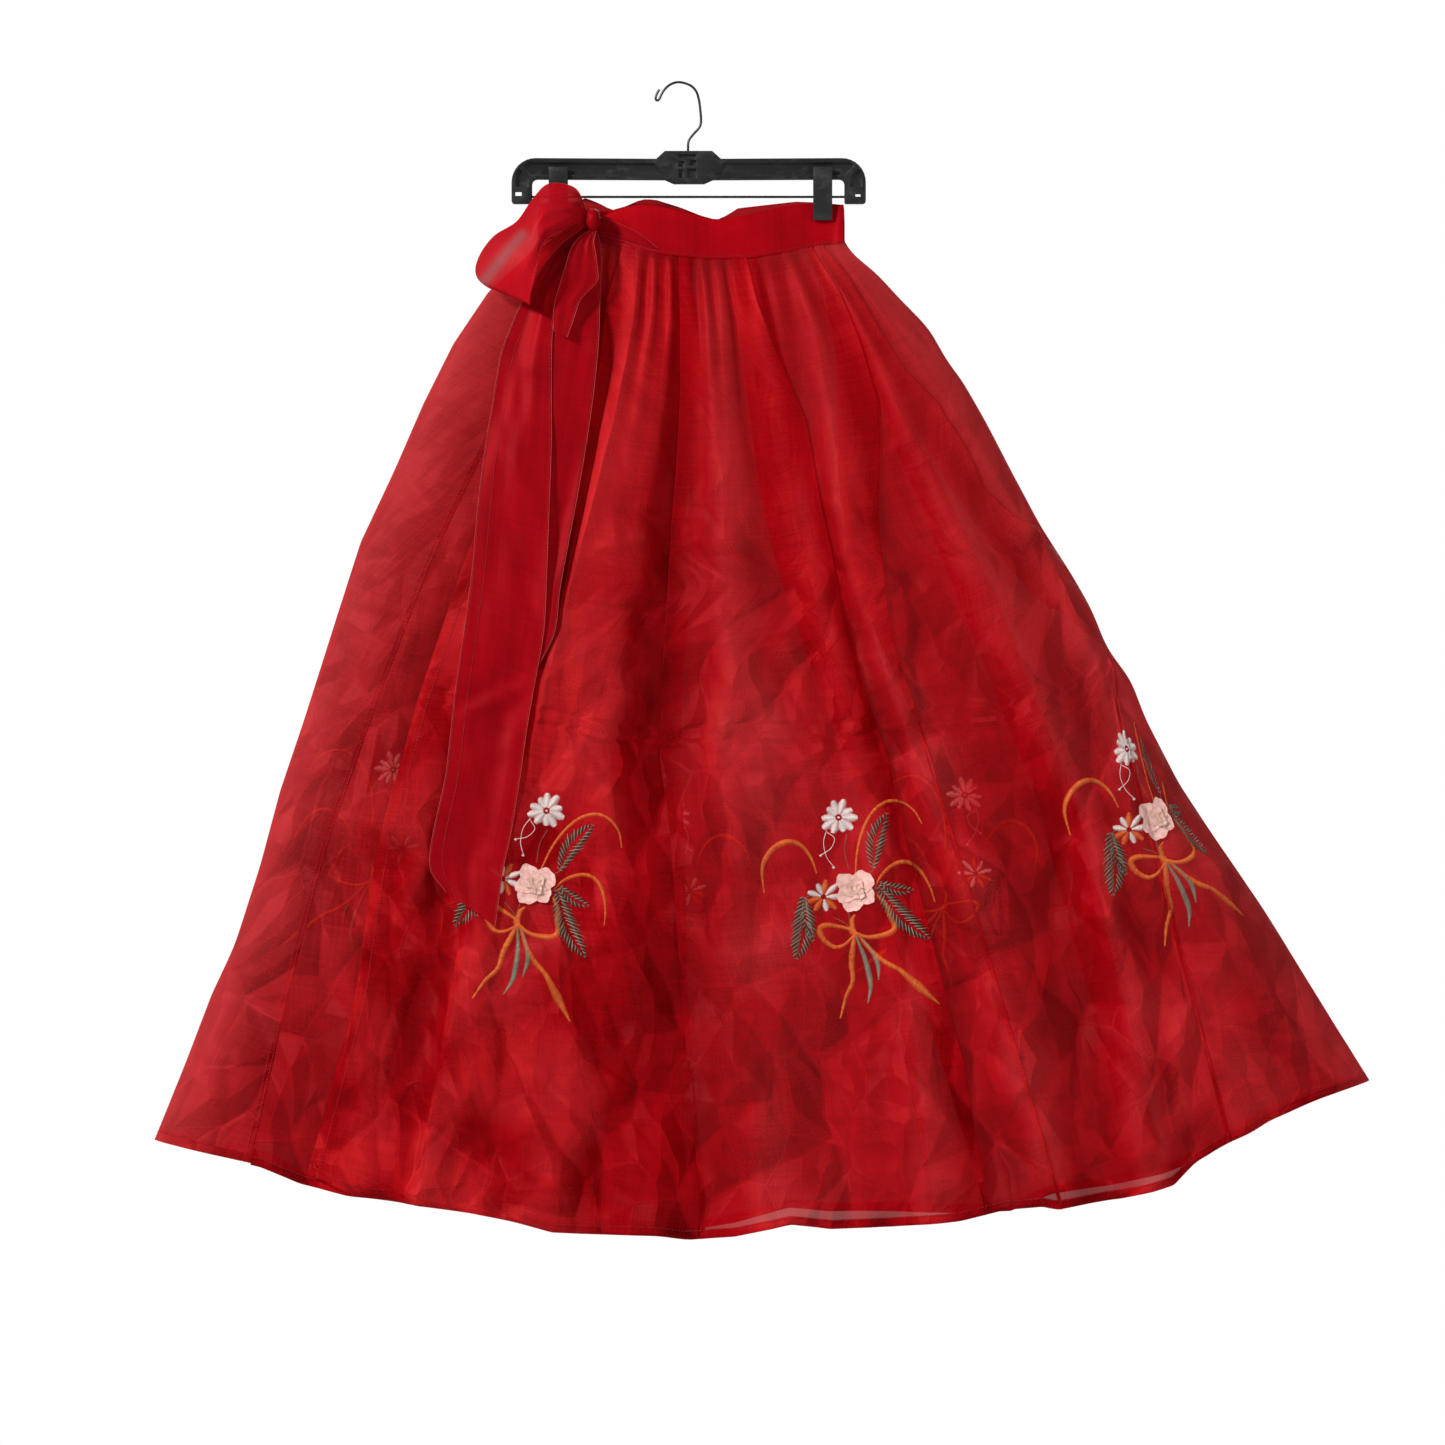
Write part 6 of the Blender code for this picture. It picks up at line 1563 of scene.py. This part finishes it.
satin_stub = thread_stub("satin_stub", ((-1.0, 0.35), (0.0, 1.0), (1.0, 0.35)))
satin_stitch = Pattern("satin_stitch", {"Pitch": "Float", "Half Width": "Float", "Uneven": "Float",
                                        "Thread": "Object", "Seed": "Int", "Finish": "Material"})
spots = satin_stitch.node("GeometryNodeResampleCurve", {"mode": "LENGTH"}, {
    "Curve": satin_stitch.given("Curves"), "Length": satin_stitch.given("Pitch")})
way = satin_stitch.node("GeometryNodeInputTangent")
way_parts = satin_stitch.node("ShaderNodeSeparateXYZ", {}, {"Vector": way})
way_y = Value(satin_stitch, way_parts.socket.node.outputs["Y"])
heading = satin_stitch.node("ShaderNodeMath", {"operation": "ARCTAN2"}, {0: way_y, 1: way_parts})
lean = heading + satin_stitch.node("GeometryNodeInputCurveTilt")
reach = satin_stitch.node("FunctionNodeRandomValue", {"data_type": "FLOAT"}, {
    2: 1.0 - satin_stitch.given("Uneven"), 3: 1.0 + satin_stitch.given("Uneven"),
    "Seed": satin_stitch.given("Seed")}, out=1)
half = satin_stitch.node("GeometryNodeInputRadius") * reach * MM
turned = satin_stitch.node("ShaderNodeCombineXYZ", {}, {"X": 0.0, "Y": 0.0, "Z": lean})
satin_stitch.sewn(spots, turned, half)

cloth_sides = {}
for side, piece in (("front", front_piece), ("back", back_piece)):
    shape = bmesh.new()
    shape.from_mesh(piece.data)
    cloth_sides[side] = BVHTree.FromBMesh(shape)
    shape.free()


def sewn_on(mesh, name, spray):
    """Places a flat drawing's mesh on the cloth at one spray, as a new mesh."""
    count = len(mesh.vertices)
    flat = np.empty(count * 3, np.float32)
    mesh.vertices.foreach_get("co", flat)
    flat = flat.reshape(count, 3).astype(float)
    forward = -1.0 if spray["side"] == "front" else 1.0
    turn = math.radians(spray["turn"]) * -forward
    x, y = flat[:, 0] * -forward, -flat[:, 1]
    across = x * math.cos(turn) - y * math.sin(turn) + (spray["knot"][0] - REST_ACROSS) * MM
    down = x * math.sin(turn) + y * math.cos(turn) + (spray["knot"][1] - REST_DOWN) * MM
    edge = (from_table(OUTLINE_RIGHT, "across", REST_DOWN + down / MM, "down") - REST_ACROSS) * MM - EDGE_SPACE
    beyond = np.maximum(across - (edge - EDGE_REACH), 0.0)
    across -= beyond - EDGE_REACH * (1.0 - np.exp(-beyond / EDGE_REACH))
    cloth_side = cloth_sides[spray["side"]]
    last = 0.0
    for i in range(count):
        hit = cloth_side.ray_cast(Vector((across[i], forward * 0.5, -down[i])), Vector((0.0, -forward, 0.0)))[0]
        last = hit.y if hit else last
        flat[i] = (across[i], last + forward * (EMBROIDERY_LIFT + flat[i, 2]), -down[i])
    placed = mesh.copy()
    placed.name = name
    placed.vertices.foreach_set("co", flat.reshape(-1).astype(np.float32))
    if forward > 0:
        placed.flip_normals()
    placed.update()
    return placed


def sewn_everywhere(name, drawn):
    """One piece of a thread colour or petal cloth, joined from its copies at all six sprays."""
    joined = bmesh.new()
    for index, spray in enumerate(SPRAYS):
        placed = sewn_on(drawn, f"{name}_{index}", spray)
        joined.from_mesh(placed)
        bpy.data.meshes.remove(placed)
    mesh = bpy.data.meshes.new(name)
    joined.to_mesh(mesh)
    joined.free()
    for finish in drawn.materials:
        mesh.materials.append(finish)
    mesh.shade_smooth()
    piece = in_scene(name, mesh)
    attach(piece, "root")


orange_thread = sewing_thread("orange_thread", (0.50, 0.022, 0.003), (1.0, 0.27, 0.04), 0.3)
cream_thread = sewing_thread("cream_thread", (0.78, 0.58, 0.54), (1.0, 0.95, 0.92), 0.32)
leaf_thread = sewing_thread("leaf_thread", (0.10, 0.10, 0.065), (0.42, 0.41, 0.30), 0.34)
stem_thread = sewing_thread("stem_thread", (0.05, 0.028, 0.018), (0.30, 0.20, 0.13), 0.36)
dark_thread = sewing_thread("dark_thread", (0.010, 0.006, 0.005), (0.040, 0.030, 0.022), 0.45)
vein_thread = sewing_thread("vein_thread", (0.16, 0.08, 0.045), (0.42, 0.27, 0.16), 0.36)
EMBROIDERY = (
    {"name": "thread_leaf_ground", "finish": dark_thread, "pitch": LEAF_GROUND_PITCH, "uneven": 0.1,
     "lines": [line for leaf in LEAVES for line in leaf_lines(leaf, 0.82)]},
    {"name": "thread_leaves", "finish": leaf_thread, "pitch": LEAF_PITCH, "uneven": 0.2,
     "half": LEAF_HALF_WIDTH,
     "lines": [line for leaf in LEAVES for line in leaf_lines(leaf, 1.0, 0.0004)]},
    {"name": "thread_veins", "finish": vein_thread, "pitch": 0.0011, "uneven": 0.1,
     "lines": [satin((leaf["from"], leaf["to"]), (1.6, 1.2, 0.7), 0.9, 8) for leaf in LEAVES]},
    {"name": "thread_blades", "finish": leaf_thread, "pitch": SATIN_PITCH, "uneven": 0.05,
     "lines": [satin(row["path"], row["width"], 0.5) for row in LEAF_BLADES]},
    {"name": "thread_stems", "finish": stem_thread, "pitch": 0.0009, "uneven": 0.1,
     "lines": [satin(path, (1.3, 1.1, 0.9), 1.1) for path in STEMS]},
    {"name": "thread_orange", "finish": orange_thread, "pitch": SATIN_PITCH, "uneven": 0.05,
     "lines": [satin(row["path"], row["width"], 0.35) for row in ORANGE_RIBBONS]
              + petal_lines(SMALL_FLOWER, ORANGE_PETALS)},
    {"name": "thread_cream", "finish": cream_thread, "pitch": SATIN_PITCH, "uneven": 0.06,
     "lines": petal_lines(DAISY) + petal_lines(SMALL_FLOWER, CREAM_PETALS)
              + [satin(path, (1.0, 0.8, 1.0), 1.1) for path in TENDRILS]
              + [satin(((x - 1, y), (x, y), (x + 1, y)), (2.0, 2.6, 2.0)) for x, y in FLOWER_DOTS]},
)
for index, row in enumerate(EMBROIDERY):
    drawn = satin_stitch.made(row["name"], row["lines"], {
        "Pitch": row["pitch"], "Half Width": row.get("half", THREAD_HALF_WIDTH), "Uneven": row["uneven"],
        "Thread": satin_stub, "Seed": 20 + index, "Finish": row["finish"]})
    sewn_everywhere(row["name"], drawn)

# The rose of each spray: petals of pale pink silk laid over one another, with stamens of yellow thread
petal_silk = Finish("petal_silk")
silk_place = petal_silk.node("ShaderNodeTexCoord", out=3)
silk_folds = petal_silk.grain(silk_place, 260.0, detail=3.0)
silk_warp = petal_silk.grain(silk_place, 1.0, (2400.0, 2400.0, 500.0), 1.0)
silk_bump = petal_silk.node("ShaderNodeBump", {}, {"Strength": 0.6, "Distance": 0.0008,
                                                    "Height": silk_folds + silk_warp * 0.15})
# the petal colour follows the fold noise of the bump, darker in its hollows and lighter on its crests: painted
# shade and light
silk_painted_fold_shade = petal_silk.mix(silk_folds * 0.9 + silk_warp * 0.15, (0.40, 0.11, 0.10), (0.90, 0.60, 0.52))
petal_silk = petal_silk.done(petal_silk.node("ShaderNodeBsdfPrincipled", {}, {
    "Base Color": silk_painted_fold_shade, "Roughness": 0.42 + silk_warp * 0.15, "Normal": silk_bump, "Sheen Weight": 0.3}))
ROSE_PETALS = (
    {"at": (-7, -6), "turn": 215, "size": 15, "rise": 1.2},
    {"at": (8, -8), "turn": 300, "size": 15, "rise": 1.4},
    {"at": (11, 5), "turn": 25, "size": 13, "rise": 1.6},
    {"at": (-2, 12), "turn": 100, "size": 14, "rise": 1.8},
    {"at": (-9, 5), "turn": 160, "size": 12, "rise": 2.2},
    {"at": (2, -3), "turn": 250, "size": 10, "rise": 2.8},
    {"at": (4, 3), "turn": 60, "size": 8, "rise": 3.4},
)
PETAL_RINGS = 7
PETAL_SPOKES = 22
PETAL_SPACING = 0.85
PETAL_SIZE = 0.88
PETAL_NARROWING = 0.82
PETAL_STACKING = 0.6
petals = bmesh.new()
for row in ROSE_PETALS:
    turn = math.radians(row["turn"])
    x0, y0 = [middle + aside * PETAL_SPACING for middle, aside in zip(ROSE_CENTRE, row["at"])]
    rings = []
    for r in range(1, PETAL_RINGS + 1):
        part = r / PETAL_RINGS
        ring = []
        for c in range(PETAL_SPOKES):
            angle = 2.0 * math.pi * c / PETAL_SPOKES
            wave = 1.0 + 0.09 * math.sin(3.0 * angle + row["turn"]) + 0.05 * math.sin(7.0 * angle)
            reach = row["size"] * PETAL_SIZE * part * (wave if part > 0.6 else 1.0)
            px, py = reach * math.cos(angle), PETAL_NARROWING * reach * math.sin(angle)
            curl = 1.5 * part ** 2 * (0.6 + 0.4 * math.cos(angle - 0.3)) + 0.25 * part * math.sin(8.0 * angle)
            rise = row["rise"] * PETAL_STACKING + curl
            ring.append(petals.verts.new(((x0 + px * math.cos(turn) - py * math.sin(turn)) * MM,
                                          -(y0 + px * math.sin(turn) + py * math.cos(turn)) * MM, rise * MM)))
        rings.append(ring)
    centre = petals.verts.new((x0 * MM, -y0 * MM, row["rise"] * PETAL_STACKING * MM))
    for c in range(PETAL_SPOKES):
        after = (c + 1) % PETAL_SPOKES
        petals.faces.new((centre, rings[0][c], rings[0][after]))
        for inner, outer in zip(rings, rings[1:]):
            petals.faces.new((inner[c], outer[c], outer[after], inner[after]))
bmesh.ops.recalc_face_normals(petals, faces=petals.faces)
petal_mesh = bpy.data.meshes.new("rose_petals")
petals.to_mesh(petal_mesh)
petals.free()
petal_mesh.materials.append(petal_silk)
sewn_everywhere("rose_petals", petal_mesh)

yellow_thread = sewing_thread("yellow_thread", (0.62, 0.42, 0.16), (0.90, 0.76, 0.42), 0.36)
STAMEN_TURNS = (-2.4, -1.5, -0.7, 0.1, 0.9, 2.7)
STAMEN_LIFT = 0.0042
stamen_lines = []
for turn in STAMEN_TURNS:
    x, y = ROSE_CENTRE
    path = ((x + 1, y + 3), (x + 6 * math.cos(turn), y + 2 + 6 * math.sin(turn)),
            (x + 10 * math.cos(turn + 0.2), y + 2 + 9 * math.sin(turn + 0.2)))
    stamen = satin(path, (0.8, 0.7, 0.7, 2.0, 1.6), 1.0)
    stamen_lines.append([(x, y, STAMEN_LIFT, wide, lean) for x, y, _, wide, lean in stamen])
drawn = satin_stitch.made("thread_stamens", stamen_lines, {
    "Pitch": 0.0008, "Half Width": THREAD_HALF_WIDTH, "Uneven": 0.1, "Thread": satin_stub, "Seed": 31,
    "Finish": yellow_thread})
sewn_everywhere("thread_stamens", drawn)
for stub in (stitch_stub, satin_stub):
    bpy.data.objects.remove(stub)


# Hanger: black moulded polypropylene with a fine sparked grain, rubbed paler along its edges. The plain
# solids are welded and their sharp edges rounded by the draft of the mould.
EDGE_ROUNDING = 0.00032
WELD_REACH = 1e-6
FLAT_ANGLE = math.radians(1.0)
SHARP_ANGLE = math.radians(35.0)
SMOOTH_ANGLE = math.radians(38.0)
MOULDED = ("hanger_bar", "clip_left_front", "clip_left_rear", "clip_right_front", "clip_right_rear")
plastic = Finish("black_plastic")
plastic_place = plastic.node("ShaderNodeTexCoord", out=3)
sparked = plastic.grain(plastic_place, 1500.0, detail=3.0)
scuffed = plastic.grain(plastic_place, 95.0, (1.0, 5.0, 1.4), 6.0)
clouded = plastic.grain(plastic_place, 22.0, detail=3.0)
edge = plastic.node("ShaderNodeNewGeometry", out="Pointiness")
rubbed = plastic.node("ShaderNodeMapRange", {}, {"Value": edge, "From Min": 0.52, "From Max": 0.62})
marks = plastic.node("ShaderNodeMapRange", {}, {"Value": scuffed, "From Min": 0.52, "From Max": 0.8})
wear = rubbed * 0.5 + marks * 0.7
black_bump = plastic.node("ShaderNodeBump", {}, {"Strength": 0.35, "Distance": 0.0002,
                                                 "Height": sparked + scuffed * 0.5})
black_shade = plastic.mix(wear, (0.0055, 0.0055, 0.006), (0.030, 0.030, 0.032))
black_plastic = plastic.done(plastic.node("ShaderNodeBsdfPrincipled", {}, {
    "Base Color": black_shade, "Roughness": 0.34 + clouded * 0.14 + wear * 0.2, "Specular IOR Level": 0.42,
    "Normal": black_bump}))
for node in MOULDED:
    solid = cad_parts[node]
    moulded = bmesh.new()
    moulded.from_mesh(solid.data)
    bmesh.ops.remove_doubles(moulded, verts=moulded.verts, dist=WELD_REACH)
    bmesh.ops.recalc_face_normals(moulded, faces=moulded.faces)
    bmesh.ops.dissolve_limit(moulded, angle_limit=FLAT_ANGLE, verts=moulded.verts, edges=moulded.edges)
    sharp = [e for e in moulded.edges if len(e.link_faces) == 2 and e.calc_face_angle(0.0) > SHARP_ANGLE]
    bmesh.ops.bevel(moulded, geom=sharp, offset=EDGE_ROUNDING, segments=2, profile=0.6, affect="EDGES",
                    clamp_overlap=True)
    bmesh.ops.triangulate(moulded, faces=moulded.faces)
    mesh = bpy.data.meshes.new(node + "_moulding")
    moulded.to_mesh(mesh)
    moulded.free()
    mesh.materials.append(black_plastic)
    mesh.shade_smooth()
    mesh.set_sharp_from_angle(angle=SMOOTH_ANGLE)
    piece = in_scene(node + "_moulding", mesh)
    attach(piece, "root")
    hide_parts(node)

# Hook, rod and the clips' springs: drawn steel, blackened, with fine marks of the die along it
WIRE_RADIUS = 0.00125
ROD_DOWN = 194.3
WIRES = (
    {"name": "hook_wire", "node": "hanger_hook", "path": (
        (687.9, 161.6), (687.9, 146.0), (688.6, 138.0), (693.0, 131.6), (698.6, 125.4), (700.9, 119.0),
        (700.2, 107.0), (698.6, 95.7), (695.6, 87.4), (689.0, 81.6), (678.5, 78.95), (670.2, 81.3),
        (664.6, 86.0), (661.2, 91.2), (659.2, 95.6), (657.0, 97.4), (655.3, 95.4), (656.4, 91.0),
        (659.0, 86.4))},
    {"name": "rod_wire", "node": "hanger_rod",
     "path": ((524.0, ROD_DOWN), (688.0, ROD_DOWN), (852.0, ROD_DOWN))},
)
steel = Finish("dark_steel")
steel_place = steel.node("ShaderNodeTexCoord", out=3)
drawn_marks = steel.grain(steel_place, 700.0, (0.25, 1.0, 1.0), 3.0)
tarnish = steel.grain(steel_place, 160.0, detail=5.0)
steel_bump = steel.node("ShaderNodeBump", {}, {"Strength": 0.2, "Distance": 0.0001, "Height": drawn_marks})
steel_shade = steel.mix(tarnish * 1.3 - 0.1, (0.016, 0.016, 0.017), (0.09, 0.088, 0.086))
dark_steel = steel.done(steel.node("ShaderNodeBsdfPrincipled", {}, {
    "Base Color": steel_shade, "Metallic": 1.0, "Roughness": 0.28 + tarnish * 0.22, "Normal": steel_bump}))
for row in WIRES:
    path = finer(np.array(row["path"]), 6, 0)
    line = bpy.data.curves.new(row["name"], "CURVE")
    line.dimensions = "3D"
    line.bevel_depth = WIRE_RADIUS
    line.bevel_resolution = 5
    line.use_fill_caps = True
    spline = line.splines.new("POLY")
    spline.points.add(len(path) - 1)
    for point, (across, down) in zip(spline.points, path.tolist()):
        point.co = ((across - REST_ACROSS) * MM, 0.0, (REST_DOWN - down) * MM, 1.0)
    spline.use_smooth = True
    drawn = in_scene(row["name"] + "_line", line)
    bpy.context.view_layer.update()
    mesh = bpy.data.meshes.new_from_object(drawn.evaluated_get(bpy.context.evaluated_depsgraph_get()))
    bpy.data.objects.remove(drawn)
    mesh.materials.clear()
    mesh.materials.append(dark_steel)
    piece = in_scene(row["name"], mesh)
    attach(piece, "root")
    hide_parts(row["node"])
for node in ("clip_left_spring", "clip_right_spring"):
    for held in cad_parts[node].material_slots:
        held.material = dark_steel
